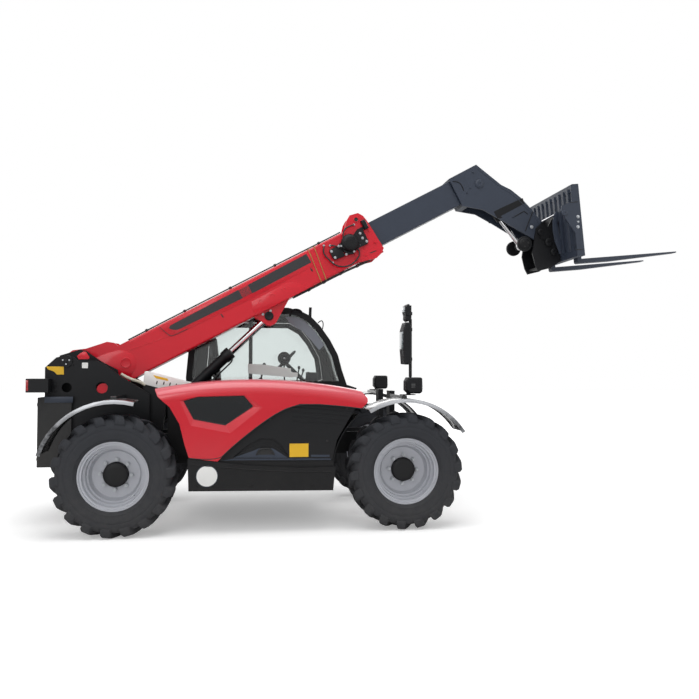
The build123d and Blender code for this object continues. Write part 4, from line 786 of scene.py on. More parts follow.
# Bolts on the head, and on the motor with their height over the head: U, V and head radius.
HEAD_BOLTS = ((3.417, -0.350, 0.011), (3.414, -0.149, 0.011), (3.559, -0.344, 0.014),
              (3.395, -0.430, 0.010), (3.560, -0.200, 0.010))
MOTOR_BOLTS = (
    (3.157, 0.034, -0.200, 0.010), (3.190, 0.034, -0.322, 0.010), (3.285, 0.034, -0.330, 0.010),
    (3.176, 0.062, -0.215, 0.008), (3.214, 0.062, -0.246, 0.008), (3.3745, 0.022, -0.300, 0.010),
    (3.447, 0.022, -0.180, 0.011), (3.447, 0.022, -0.240, 0.011), (3.473, 0.022, -0.294, 0.011),
)
MOTOR_LINES = (
    ((3.010, HEAD_Y - 0.020, -0.124), (2.985, PIPE_Y, -0.150), (2.962, PIPE_Y, -0.205),
     (2.985, PIPE_Y, -0.285), (3.018, PIPE_Y, -0.372), (3.085, PIPE_Y, -0.430),
     (3.178, PIPE_Y, -0.453), (3.270, PIPE_Y, -0.432), (3.330, PIPE_Y, -0.390),
     (3.345, PIPE_Y, -0.345), (3.336, PIPE_Y, -0.322)),
    ((3.074, HEAD_Y - 0.018, -0.150), (3.100, PIPE_Y, -0.160), (3.130, PIPE_Y, -0.188),
     (3.150, PIPE_Y, -0.215)),
    ((3.240, HEAD_Y - 0.04, -0.150), (3.262, PIPE_Y - 0.02, -0.100),
     (3.300, PIPE_Y - 0.02, -0.062), (3.366, PIPE_Y, -0.052), (3.430, PIPE_Y, -0.060)),
)
LINE_ENDS = ((3.010, 0.012, -0.118), (3.074, 0.012, -0.149), (3.010, 0.020, -0.336),
             (3.430, 0.012, -0.060))


class TELEHANDLER_OT_boom_head(bpy.types.Operator):
    """Bolts, pipes, ribs and lamp glass on the boom's head"""

    bl_idname = "telehandler.boom_head"
    bl_label = "Boom head"

    def execute(self, context):
        fit("head_bolts", "boom", "red", bolts([(u, HEAD_Y, v, r) for u, v, r in HEAD_BOLTS], BOOM))
        heads = [(u, HEAD_Y - high, v, r) for u, high, v, r in MOTOR_BOLTS]
        fit("motor_bolts", "boom", "zinc", bolts(heads, BOOM))
        bracket = sheet(((3.034, -0.205), (3.048, -0.190), (3.160, -0.190), (3.176, -0.205),
                         (3.176, -0.318), (3.160, -0.330), (3.056, -0.320), (3.034, -0.300)),
                        HEAD_Y - 0.026, 0.020, BOOM)
        fit("motor_bracket", "boom", "plastic", bracket, 3)
        feet = [(3.056, HEAD_Y - 0.026, -0.216, 0.011), (3.060, HEAD_Y - 0.026, -0.296, 0.011)]
        fit("bracket_bolts", "boom", "zinc", bolts(feet, BOOM))
        fit("motor_lines", "boom", "hose", [tube(points, 0.0085, BOOM) for points in MOTOR_LINES])
        ends = [drum((u, HEAD_Y - high, v), 0.014, 0.026, "Y", 6, BOOM) for u, high, v in LINE_ENDS]
        fit("line_ends", "boom", "zinc", ends, 1.5, 1)
        # Ring and ribs moulded on the motor's cover.
        ring = turned(((0, 0.099), (0, 0.103), (-0.014, 0.103), (-0.018, 0.099)),
                      (3.288, HEAD_Y - 0.022, -0.226), place=BOOM)
        ribs = [block((3.222, 3.354), (HEAD_Y - 0.0905, HEAD_Y - 0.086),
                      (v - 0.003, v + 0.003), BOOM)
                for v in (-0.262, -0.244, -0.226, -0.208, -0.190)]
        fit("cover_ribs", "boom", "plastic", [ring] + ribs, 1.5, 1)
        glass = block((3.5615, 3.5635), (HEAD_Y - 0.050, HEAD_Y - 0.008), (-0.156, -0.072), BOOM)
        fit("work_light_glass", "boom", "clear_lens", inset(glass, BOOM_WAY, 0.006, -0.001), 0.7, 1)
        # Eye's bush and the pin in it.
        for hand, side in HANDS:
            centre = (3.485, side * 0.167, -0.018)
            fit("eye_bush_" + hand, "boom", "red", turned(
                ((0, 0.024), (0, 0.038), (0.005, 0.036), (0.006, 0.024)), centre, steps=40,
                place=BOOM, side=side))
            fit("eye_plug_" + hand, "boom", "iron", turned(
                ((0, 0), (0, 0.0225), (-0.016, 0.0225), (-0.016, 0)), centre, steps=32,
                place=BOOM, side=side))
        # Dark sheet for a slot in the head: painted shade.
        slot = sheet(((3.450, -0.424), (3.526, -0.431), (3.528, -0.441), (3.452, -0.436)),
                     HEAD_Y - 0.0016, 0.0026, BOOM)
        fit("head_slot", "boom", "hose", slot, 0.5, 1)
        # Wear pads' cover plates, under and over the inner boom at the outer boom's mouth.
        lips = [block((3.586, 3.594), (-0.142, 0.142), v_span, BOOM)
                for v_span in ((-0.455, -0.440), (-0.096, -0.082))]
        fit("mouth_lips", "boom", "black", lips, 2)
        return {"FINISHED"}


class TELEHANDLER_OT_cylinders(bpy.types.Operator):
    """Pins, seals and lines of the lift cylinder"""

    bl_idname = "telehandler.cylinders"
    bl_label = "Cylinders"

    def execute(self, context):
        for hand, side in HANDS:
            cap = turned(((0, 0), (0, 0.050), (0.006, 0.050), (0.009, 0.046), (0.0095, 0.030),
                          (0.007, 0.026), (0.007, 0)), (2.096, side * 0.1075, -0.534),
                         place=BOOM, side=side)
            fit("lift_pin_cap_" + hand, "boom", "black", cap)
            heads = [(2.046, side * 0.0985, -0.486, 0.010), (2.140, side * 0.0985, -0.490, 0.010)]
            fit("lift_pin_bolts_" + hand, "boom", "zinc", bolts(heads, BOOM, side))
        seal = turned(((0, 0.0405), (0, 0.066), (0.006, 0.069), (0.006, 0.0405)),
                      (LIFT_MOUTH - 0.006, 0, 0), "X", place=LIFT)
        fit("lift_rod_seal", "lift_cylinder_barrel", "hose", seal)
        line = tube([(LIFT_MOUTH + x, y, z) for x, y, z in (
            (0.03, -0.045, 0.062), (0.05, -0.048, 0.086), (0.12, -0.048, 0.090),
            (0.9, -0.048, 0.090), (1.02, -0.046, 0.086), (1.08, -0.040, 0.056))], 0.009, LIFT)
        clips = [block((LIFT_MOUTH + at, LIFT_MOUTH + at + 0.03), (-0.062, -0.034), (0.052, 0.102),
                       LIFT) for at in (0.30, 0.72)]
        fit("lift_line", "lift_cylinder_barrel", "hose", [line, ease(clips, 4)])
        return {"FINISHED"}


# ---------------------------------------------------------------- nose and carriage
NECK_Y = 0.145           # side face of the gooseneck
# Band across the neck, then the lines on its side: front seam, raised angle, rear curve.
NECK_BAND = ((4.125, 3.473), (4.211, 3.520), (4.485, 3.650), (4.505, 3.585), (4.211, 3.425),
             (4.235, 3.405), (4.170, 3.395))
NECK_LINES = (
    ((4.607, 3.490), (4.560, 3.372), (4.514, 3.256)),
    ((4.360, 3.412), (4.494, 3.490), (4.497, 3.492), (4.500, 3.491), (4.547, 3.459)),
    ((3.628, 3.811), (3.680, 3.815), (3.735, 3.780), (3.760, 3.709)),
)
NECK_BOLTS = ((3.833, 3.747, 0.009), (3.797, 3.687, 0.009), (3.871, 3.932, 0.012),
              (4.371, 3.421, 0.009))
NECK_WELD = ((3.93, 3.985), (4.10, 3.862), (4.22, 3.770), (4.34, 3.715), (4.45, 3.625),
             (4.59, 3.480), (4.74, 3.300))


class TELEHANDLER_OT_nose(bpy.types.Operator):
    """Bosses, pins and seams on the gooseneck"""

    bl_idname = "telehandler.nose"
    bl_label = "Nose"

    def execute(self, context):
        for hand, side in HANDS:
            face = side * NECK_Y
            discs = [turned(((0, 0), (0, r), (deep * 0.7, r), (deep, r * 0.85), (deep, r * 0.35),
                             (deep * 0.7, r * 0.3), (deep * 0.7, 0)), (pin.x, face, pin.z),
                            steps=40, place=None, side=side)
                     for pin, r, deep in ((TILT_BASE, 0.047, 0.014), (CARRIAGE_PIN, 0.060, 0.012))]
            fit("nose_discs_" + hand, "boom_extension", "grey", discs)
            lines = [tube([(x, face + side * 0.001, z) for x, z in points], 0.005)
                     for points in NECK_LINES]
            band = ease(sheet(NECK_BAND, face - side * 0.001, side * 0.0035), 1, 1)
            fit("nose_marks_" + hand, "boom_extension", "black", [band] + lines)
        heads = [(AXLE_X + x, -NECK_Y, z, r) for x, z, r in NECK_BOLTS]
        fit("nose_bolts", "boom_extension", "grey", bolts(heads, None))
        # Weld beads where the neck's side plates meet its top plate.
        beads = [tube([(x, side * (NECK_Y - 0.001), z - 0.012) for x, z in NECK_WELD], 0.005)
                 for side in (-1, 1)]
        fit("nose_welds", "boom_extension", "grey", beads)
        return {"FINISHED"}


FORK_H0 = 0.840          # height of the mount on the carriage's upright frame
ARM_Y = 0.185            # outer face of the tool carrier
COVER_X, COVER_Y, COVER_Z = 4.492, 0.160, 3.098      # inner face of the tilt pin's cover
FRAME_Y = 0.600          # outer face of the fork frame
FORK_Y = 0.350           # middle of a fork
LOCK_ARM = (
    (4.870, 3.488), (4.842, 3.430), (4.833, 3.370), (4.837, 3.250), (4.862, 3.130),
    (4.920, 2.985), (4.972, 2.962), (5.006, 2.990), (4.960, 3.080), (4.915, 3.215),
    (4.893, 3.350), (4.912, 3.450), (4.905, 3.482),
)


class TELEHANDLER_OT_carriage(bpy.types.Operator):
    """Bolts, lock rods, pins and seams on the carriage and its forks"""

    bl_idname = "telehandler.carriage"
    bl_label = "Carriage"

    def execute(self, context):
        heads = [(f, -0.172, h - FORK_H0, r) for f, h, r in (
            (-0.419, 0.496, 0.014), (-0.281, 0.384, 0.014), (-0.177, 0.179, 0.011),
            (-0.228, 0.291, 0.012))]
        fit("carrier_bolts", "carriage", "zinc", bolts(heads, FORKS))
        for hand, side in HANDS:
            face = side * ARM_Y
            low_end = Vector((AXLE_X + 4.696, face + side * 0.012, 3.363))
            rod = turned(((0, 0), (0, 0.012), (0.172, 0.012), (0.172, 0)), (0, 0, 0), "X", 32,
                         laid(low_end, Vector((0.152, 0, 0.080))))
            fit("lock_cylinder_rod_" + hand, "carriage", "chrome", rod)
            arm = sheet(LOCK_ARM, face + side * 0.002, side * 0.018)
            fit("tool_lock_arm_" + hand, "carriage", "grey", arm, 4, 3)
            # Covers of the tilt pin, two steps, with three bolts.
            cover = turned(((0, 0), (0, 0.089), (0.026, 0.089), (0.032, 0.083), (0.032, 0.070),
                            (0.038, 0.066), (0.044, 0.058), (0.044, 0)),
                           (COVER_X, side * COVER_Y, COVER_Z), steps=56, side=side)
            fit("tilt_pin_cover_" + hand, "carriage", "black", cover)
            heads = [(COVER_X + 0.036 * math.cos(a), side * (COVER_Y + 0.044),
                      COVER_Z + 0.036 * math.sin(a), 0.008) for a in (0.3, 2.4, 4.5)]
            fit("tilt_pin_bolts_" + hand, "carriage", "iron", bolts(heads, out=side))
            pins = [turned(((0, 0), (0, r), (0.014, r), (0.018, r * 0.86), (0.018, r * 0.4),
                            (0.010, r * 0.36), (0.010, 0)), (x, face, z), steps=32, side=side)
                    for x, z, r in ((4.981, 3.475, 0.040), (4.689, 3.240, 0.034),
                                    (4.790, 3.124, 0.046), (4.850, 3.010, 0.036))]
            fit("carrier_pins_" + hand, "carriage", "black", pins)
        # Bosses of the pins through the end plates, and the plates' bolts and seams.
        for hand, side in HANDS:
            face = side * FRAME_Y
            boss = turned(((0, 0), (0, 0.034), (0.009, 0.034), (0.013, 0.029), (0.013, 0.014),
                           (0.010, 0.012), (0.010, 0)), (4.793, face - side * 0.001, 3.384),
                          steps=40, side=side)
            fit("frame_boss_" + hand, "carriage", "grey", boss)
            seams = [tube([(x, face, z) for x, z in points], 0.0035) for points in (
                ((4.860, 3.503), (4.905, 3.511), (4.954, 3.518)),
                ((4.926, 2.972), (4.968, 2.975), (5.012, 2.978)))]
            fit("frame_seams_" + hand, "carriage", "hose", seams)
            heads = [(4.956, face, 3.348, 0.013), (4.955, face, 3.232, 0.013),
                     (4.957, face, 3.290, 0.009)]
            fit("frame_bolts_" + hand, "carriage", "zinc", bolts(heads, out=side))
        # Latch pins of the forks on the upper bar, and their handles.
        for hand, side in HANDS:
            y = side * FORK_Y
            latch = [drum((-0.020, y, 0.617 - FORK_H0), 0.013, 0.050, "Z", 20, FORKS),
                     block((-0.032, -0.008), (y - 0.028, y + 0.028),
                           (0.640 - FORK_H0, 0.652 - FORK_H0), FORKS)]
            fit("fork_latch_" + hand, "carriage", "grey", latch, 3)
        return {"FINISHED"}


# ---------------------------------------------------------------- chassis and body
TOWER_Y = -0.408         # right face of the outer boom-support plate
TOWER_PLATE = ((-0.800, 1.635), (-0.623, 1.635), (-0.622, 1.552), (-0.691, 1.552),
               (-0.721, 1.583), (-0.780, 1.604))
TOWER_BOLTS = ((-0.598, 1.655, 0.011), (-0.538, 1.655, 0.011), (-0.710, 1.438, 0.012),
               (-0.710, 1.382, 0.012), (-0.640, 1.286, 0.010), (-0.780, 1.286, 0.010))
KEEPER = ((-0.648, 1.664), (-0.600, 1.644), (-0.552, 1.664), (-0.548, 1.704), (-0.600, 1.740),
          (-0.652, 1.704))


class TELEHANDLER_OT_boom_support(bpy.types.Operator):
    """Blank plates, pivot caps and bolts on the boom support and chassis"""

    bl_idname = "telehandler.boom_support"
    bl_label = "Boom support"

    def execute(self, context):
        face = TOWER_Y - 0.0018
        fit("blank_plate_tower", "chassis", "yellow", sheet(TOWER_PLATE, face, 0.0023), 0.6, 1)
        square = sheet(((-0.444, 1.618), (-0.384, 1.618), (-0.384, 1.676), (-0.444, 1.676)), face,
                       0.0023)
        fit("blank_square", "chassis", "white", square, 0.6, 1)
        heads = [(x, TOWER_Y, z, r) for x, z, r in TOWER_BOLTS]
        fit("support_bolts", "chassis", "black", bolts(heads))
        for hand, side in HANDS:
            face = side * -TOWER_Y
            pin = turned(((0, 0), (0, 0.026), (0.012, 0.026), (0.015, 0.022), (0.015, 0)),
                         (-0.600, face, 1.690), steps=32, side=side)
            keeper = ease(sheet(KEEPER, face, side * 0.008), 3)
            fit("pivot_keeper_" + hand, "chassis", "black", [keeper, pin])
            heads = [(x, face + side * 0.008, z, 0.010)
                     for x, z in ((-0.632, 1.702), (-0.568, 1.702), (-0.600, 1.660))]
            fit("pivot_bolts_" + hand, "chassis", "zinc", bolts(heads, out=side))
        cover = sheet(((-0.495, 1.742), (-0.478, 1.762), (-0.430, 1.792), (-0.405, 1.790),
                       (-0.368, 1.730), (-0.378, 1.714), (-0.478, 1.710)), TOWER_Y - 0.003, 0.0035)
        fit("support_cover", "chassis", "red", cover, 1.2)
        back = turned(((0, 0), (0, 0.066), (0.004, 0.066), (0.004, 0)),
                      (-0.232, TOWER_Y + 0.017, 1.394))
        fit("support_hole_back", "chassis", "red", back)
        ledge = sheet(((-0.800, 1.324), (-0.520, 1.324), (-0.520, 1.262), (-0.800, 1.262)),
                      -0.4545, 0.005)
        fit("counterweight_ledge", "chassis", "grey", ledge, 2)
        feed = tube([(-0.060, -0.330, 1.556), (0.000, -0.340, 1.520), (0.070, -0.345, 1.492),
                     (0.150, -0.345, 1.470), (0.190, -0.345, 1.440)], 0.017)
        fit("oil_feed_tube", "chassis", "cream", feed)
        hook = tube([(-0.800, TOWER_Y - 0.004, 1.150), (-0.812, TOWER_Y - 0.016, 1.125),
                     (-0.835, TOWER_Y - 0.018, 1.102), (-0.850, TOWER_Y - 0.010, 1.128)], 0.007)
        fit("hook", "chassis", "black", hook)
        return {"FINISHED"}


HOOD_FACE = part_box("engine_hood")[0].y           # right face of hood and skirt
PANEL_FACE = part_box("side_panel")[0].y
OIL_LOW, OIL_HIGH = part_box("hydraulic_tank")
# Seals, ridges and ribs along the right side: X and Z.
HOOD_RIM = (
    (0.702, 0.772), (0.974, 0.737), (1.079, 0.845), (1.270, 1.005), (1.466, 1.151),
    (1.620, 1.240), (1.772, 1.287), (1.973, 1.285), (2.226, 1.263), (2.392, 1.242),
)
WINDOW_RIM = ((0.650, 1.303), (0.745, 1.128), (1.045, 1.068), (1.311, 1.248), (1.223, 1.351),
              (0.782, 1.340))
SKIRT_CREASE = ((0.716, 0.690), (1.010, 0.660), (1.300, 0.628), (1.780, 0.600), (2.100, 0.598))
PANEL_RIBS = ((1.700, 1.235, 2.300, 1.185), (1.690, 1.190, 2.260, 1.146),
              (1.690, 1.145, 2.220, 1.107), (1.700, 1.100, 2.180, 1.068))
# Painted highlights on the panel, as blue-grey sheets: grab recess, sill, slit.
PAINTED_PANEL_HIGHLIGHTS = (
    ((1.126, 0.747), (1.312, 0.809), (1.377, 0.836), (1.510, 0.833), (1.576, 0.792),
     (1.660, 0.736), (1.400, 0.742)),
    ((0.990, 0.716), (1.138, 0.739), (2.085, 0.725), (2.085, 0.709), (1.138, 0.720)),
    ((1.888, 0.764), (2.074, 0.762), (2.074, 0.738), (1.888, 0.741)),
)


class TELEHANDLER_OT_body_side(bpy.types.Operator):
    """Blank plates, seals, slots and catches on hood, side panel and skirt"""

    bl_idname = "telehandler.body_side"
    bl_label = "Body side"

    def execute(self, context):
        seal = tube([(x, HOOD_FACE + 0.004, z - 0.020) for x, z in HOOD_RIM], 0.006)
        fit("hood_edge_seal", "hood", "hose", seal)
        seal = tube([(x, HOOD_FACE + 0.0155, z) for x, z in WINDOW_RIM], 0.0045, closed=True,
                    order=2)
        fit("hood_window_seal", "hood", "hose", seal)
        plate = sheet(((1.675, 0.744), (1.863, 0.744), (1.863, 0.876), (1.675, 0.876)),
                      PANEL_FACE - 0.0018, 0.0023)
        fit("blank_plate_panel", "chassis", "yellow", plate, 0.6, 1)
        disc_at = (0.875, HOOD_FACE, 0.575)
        fit("blank_disc_skirt", "chassis", "white", turned(
            ((0, 0), (0, 0.100), (-0.0014, 0.100), (-0.0022, 0.098), (-0.0022, 0)), disc_at,
            steps=64))
        fit("disc_ring_skirt", "chassis", "grey", turned(
            ((0, 0.0985), (0, 0.106), (-0.0018, 0.106), (-0.0018, 0.0985)), disc_at, steps=64))
        # Painted highlights: blue-grey sheets where light catches the grab recess, the sill and the slit.
        painted_highlights = [sheet(points, PANEL_FACE - 0.004, 0.005) for points in PAINTED_PANEL_HIGHLIGHTS]
        fit("panel_painted_highlights", "chassis", "grey", painted_highlights, 3)
        # Dark sheet in the grab recess behind the handle: painted shade; the bar over it is the handle.
        hole = sheet(((1.352, 0.772), (1.366, 0.822), (1.500, 0.820), (1.522, 0.772)),
                     PANEL_FACE - 0.0055, 0.0025)
        bar = tube([(x, PANEL_FACE - high, z) for x, high, z in (
            (1.350, 0.004, 0.770), (1.372, 0.014, 0.826), (1.436, 0.016, 0.834),
            (1.500, 0.014, 0.826), (1.524, 0.004, 0.770))], 0.008)
        fit("panel_handle", "chassis", "hose", [ease(hole, 1, 1), bar])
        crease = tube([(x, HOOD_FACE + 0.002, z) for x, z in SKIRT_CREASE], 0.007)
        fit("skirt_crease", "chassis", "black", crease)
        y = PANEL_FACE + 0.001
        ribs = [tube([(x_0, y, z_0), ((x_0 + x_1) / 2, y, (z_0 + z_1) / 2 + 0.004), (x_1, y, z_1)],
                     0.0045) for x_0, z_0, x_1, z_1 in PANEL_RIBS]
        fit("panel_ribs", "chassis", "plastic", ribs)
        heads = [(x, PANEL_FACE, z, 0.009) for x, z in (
            (1.010, 0.730), (1.730, 0.730), (2.050, 0.900), (1.480, 1.120), (2.250, 1.225))]
        fit("panel_bolts", "chassis", "hose", bolts(heads))
        heads = [(x, HOOD_FACE, z, 0.009) for x, z in ((0.780, 0.480), (1.300, 0.475),
                                                       (1.900, 0.470), (2.060, 0.560))]
        fit("skirt_bolts", "chassis", "black", bolts(heads))
        # Pale cover over the oil tank's top, with its slots and a blank plate.
        face = OIL_LOW.y - 0.003
        cover = sheet(((0.172, 1.452), (0.180, 1.578), (0.196, 1.589), (0.387, 1.543),
                       (0.665, 1.468), (0.665, 1.380), (0.360, 1.400)), face,
                      OIL_HIGH.y + 0.003 - face)
        fit("oil_tank_cover", "chassis", "white", cover, 4, 3)
        plate = sheet(((0.270, 1.548), (0.420, 1.510), (0.430, 1.484), (0.300, 1.512)),
                      face - 0.0014, 0.0019)
        fit("blank_plate_tank", "chassis", "yellow", plate, 0.5, 1)
        # Dark sheets for the cover's slots: painted shade.
        slots = [sheet(((x, z), (x + 0.012, z - 0.002), (x + 0.020, z + 0.030),
                        (x + 0.008, z + 0.032)), face - 0.0014, 0.0024)
                 for x, z in ((0.300, 1.452), (0.372, 1.446), (0.436, 1.436), (0.500, 1.424))]
        fit("tank_slots", "chassis", "hose", slots, 0.4, 1)
        return {"FINISHED"}


GUARD_R = 0.716 + 0.006                  # outer face of a mudguard
GUARD_Y = (0.730, 0.925, 1.120)          # its inner edge, middle and outer edge
ARC_STEPS = 12


class TELEHANDLER_OT_mudguard_edges(bpy.types.Operator):
    """Rolled lips and ribs of the four mudguards, and a light strip on each edge as a painted highlight"""

    bl_idname = "telehandler.mudguard_edges"
    bl_label = "Mudguard edges"

    def execute(self, context):
        for end, first, last in (("rear", 75, 163), ("front", 33, 122)):
            centre = middle(f"rim_{end}_right")

            def at(degrees, radius, y=0.0):
                turn = math.radians(degrees)
                return (centre.x + radius * math.cos(turn), y, centre.z + radius * math.sin(turn))

            def arc(y, radius, cut=0.0):
                step = (last - first - 2 * cut) / ARC_STEPS
                return [at(first + cut + step * i, radius, y) for i in range(ARC_STEPS + 1)]

            for hand, side in HANDS:
                lips = [tube(arc(side * y, GUARD_R, 0.8), 0.0095, None, 4)
                        for y in (GUARD_Y[0], GUARD_Y[2])]
                lips += [tube(arc(side * y, GUARD_R + 0.0045), 0.0035, None, 2)
                         for y in (0.84, 0.925, 1.01)]
                lips += [tube([at(turn, GUARD_R, side * y) for y in GUARD_Y], 0.0095, None, 4)
                         for turn in (first + 0.8, last - 0.8)]
                # Light strip round each guard's outer edge: a painted highlight, with painted shade towards its
                # lower ends.
                rim = arc(0, GUARD_R + 0.007) + arc(0, GUARD_R - 0.030)[::-1]
                band = sheet([(x - AXLE_X, z) for x, _, z in rim], side * 1.1255, side * 0.005)
                fit(f"mudguard_edge_{end}_{hand}", "chassis", "edge", band, 2)
                fit(f"mudguard_lip_{end}_{hand}", "chassis", "gloss", lips)
        return {"FINISHED"}


LAMP_LOW, LAMP_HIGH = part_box("lamps")
LAMP_Y = 0.900
MIRROR_X = LAMP_HIGH.x - AXLE_X - 0.110          # the mirrors' post
# Mirror heads: name, lower and upper edge over the lamp, half width, rear face behind the post.
MIRROR_HEADS = (("main", 0.138, 0.568, 0.100, 0.095), ("wide", 0.638, 0.758, 0.085, 0.072))


class TELEHANDLER_OT_lamps(bpy.types.Operator):
    """Lenses, bezels and mirror glass"""

    bl_idname = "telehandler.lamps"
    bl_label = "Lamps and mirrors"

    def execute(self, context):
        mid_z = LAMP_HIGH.z - 0.085
        front, top = LAMP_HIGH.x, LAMP_HIGH.z
        rear = LAMP_LOW.x - AXLE_X
        for hand, side in HANDS:
            y = side * LAMP_Y
            bezel = turned(((0, 0.058), (0, 0.069), (0.006, 0.068), (0.0075, 0.062),
                            (0.003, 0.058)), (front, y, mid_z), "X", place=None)
            fit("headlamp_bezel_" + hand, "chassis", "chrome", bezel)
            lens = turned(((0, 0), (0, 0.0585), (0.003, 0.0585), (0.007, 0.045), (0.009, 0.020),
                           (0.0095, 0)), (front, y, mid_z), "X", place=None)
            flutes = [tube([(front + out, y + across, mid_z + up * (0.05 - abs(across) * 0.5))
                            for out, up in ((0.0055, -1), (0.0075, 0), (0.0055, 1))],
                           0.0022, None, 2)
                      for across in (-0.036, -0.024, -0.012, 0.0, 0.012, 0.024, 0.036)]
            fit("headlamp_lens_" + hand, "chassis", "clear_lens", [lens] + flutes)
            # Side marker on the shell.
            marker = sheet(((front - 0.118, mid_z - 0.024), (front - 0.075, mid_z - 0.024),
                            (front - 0.075, mid_z + 0.022), (front - 0.118, mid_z + 0.022)),
                           side * (LAMP_Y + 0.074), side * 0.004, None)
            fit("lamp_marker_" + hand, "chassis", "gloss", marker, 2)
            # Tail lamps, and the lens on their side.
            for name, z_span, finish in (("tail_lens_", (1.442, 1.498), "red_lens"),
                                         ("signal_lens_", (1.384, 1.436), "amber_lens")):
                glass = block((rear - 0.0002, rear + 0.004), (side * 0.428, side * 0.545), z_span)
                fit(name + hand, "chassis", finish, glass, 4, 3)
            wrap = block((rear + 0.001, rear + 0.026), (side * 0.470, side * 0.564), (1.386, 1.496))
            fit("side_lens_" + hand, "chassis", "red_lens", wrap, 3)
        # Mirror glass on the rear of each head.
        for name, z_low, z_high, half_y, back in MIRROR_HEADS:
            tall = z_high - z_low
            glass = block((-0.0012, 0.0015), (-half_y + 0.018, half_y - 0.018),
                          (top + z_low + tall * 0.36, top + z_high - tall * 0.22),
                          MACHINE @ Matrix.Translation((MIRROR_X - back, -LAMP_Y, 0)))
            fit("mirror_glass_" + name, "chassis", "mirror", glass, 0.8)
        shroud = sheet([(MIRROR_X + x, top + z) for x, z in (
            (-0.066, 0.600), (-0.040, 0.578), (-0.012, 0.590), (-0.008, 0.700), (-0.060, 0.690))],
            -LAMP_Y - 0.070, 0.140)
        fit("mirror_shroud", "chassis", "plastic", shroud, 8, 3)
        sleeve = turned(((0, 0.0125), (0, 0.0165), (0.60, 0.0165), (0.60, 0.0125)),
                        (MIRROR_X, -LAMP_Y, top + 0.005), "Z", 24)
        fit("mirror_sleeve", "chassis", "plastic", sleeve)
        clamps = [drum((MIRROR_X, -LAMP_Y, top + z), 0.021, 0.034, "Z", 24)
                  for z in (0.19, 0.50, 0.665)]
        fit("mirror_clamps", "chassis", "plastic", clamps, 3)
        return {"FINISHED"}


# ---------------------------------------------------------------- cab and rear
WALL_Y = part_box("cab_frame")[0].y                # right wall of the cab
BLIND = ((1.760, 2.145), (1.914, 2.054), (2.020, 1.940), (2.104, 1.837), (2.168, 1.900),
         (2.050, 2.070), (1.945, 2.172), (1.850, 2.220), (1.700, 2.232))
WIPER_ARM = ((2.436, 0.660, 1.520), (2.440, 0.655, 1.560), (2.404, 0.640, 1.640),
             (2.340, 0.620, 1.790))
WIPER_BLADE = ((2.404, 1.560), (2.364, 1.680), (2.322, 1.780), (2.262, 1.890), (2.195, 1.998))
# Rail, stub and wire on the roof's edge: X, distance in from the wall, Z, and radius.
RAILS = (
    (((1.759, 0.03, 2.240), (1.775, -0.006, 2.306), (1.840, -0.010, 2.318),
      (1.900, -0.006, 2.290), (1.915, 0.03, 2.228)), 0.012),
    (((1.998, 0.04, 2.225), (1.998, 0.04, 2.300), (2.002, 0.04, 2.345)), 0.017),
    (((2.090, 0.02, 2.160), (2.125, 0.01, 2.196), (2.152, 0.01, 2.170), (2.148, 0.01, 2.100),
      (2.137, 0.015, 2.078)), 0.006),
)


class TELEHANDLER_OT_cab_outside(bpy.types.Operator):
    """Seals, rails, wiper, door handle and roof ribs of the cab"""

    bl_idname = "telehandler.cab_outside"
    bl_label = "Cab outside"

    def execute(self, context):
        fit("cab_rails", "chassis", "black", [
            tube([(x, WALL_Y + y, z) for x, y, z in points], radius) for points, radius in RAILS])
        fit("side_blind", "chassis", "tint", sheet(BLIND, 0.2405, 0.004), 1, 1)
        # Wiper: motor, arm and blade in front of the windscreen.
        motor = turned(((0, 0), (0, 0.030), (0.020, 0.028), (0.034, 0.020), (0.046, 0.018),
                        (0.046, 0)), (2.398, 0.660, 1.520), "X", 32)
        blade = tube([(x, 0.615, z) for x, z in WIPER_BLADE], 0.009)
        fit("windscreen_wiper", "chassis", "hose", [motor, tube(WIPER_ARM, 0.007), blade])
        roof_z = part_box("cab_roof")[1].z
        ribs = [tube([(0.860, y, roof_z - 0.003), (1.300, y, roof_z - 0.001),
                      (1.780, y, roof_z - 0.003)], 0.009) for y in (0.36, 0.51, 0.66, 0.81, 0.96)]
        fit("roof_ribs", "chassis", "plastic", ribs)
        # Door's handle on its plate, and the seal round its pane.
        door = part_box("cab_door")[1].y
        plate = sheet(((1.985, 1.010), (2.135, 1.010), (2.145, 1.040), (2.135, 1.066),
                       (1.985, 1.066), (1.975, 1.040)), door - 0.001, 0.005)
        grip = tube([(x, door + high, 1.040) for x, high in (
            (1.995, 0.002), (2.010, 0.018), (2.060, 0.019), (2.110, 0.018), (2.125, 0.002))],
                    0.0065)
        fit("door_handle", "door", "plastic", [ease(plate, 2), grip])
        low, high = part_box("cab_door_glass")
        edge = ((low.x + 0.02, low.z + 0.02), (high.x - 0.02, low.z + 0.02), (high.x - 0.02, 1.560))
        seal = tube([(x, high.y + 0.002, z) for x, z in edge], 0.006, None, order=2)
        fit("door_seal", "door", "hose", seal)
        return {"FINISHED"}


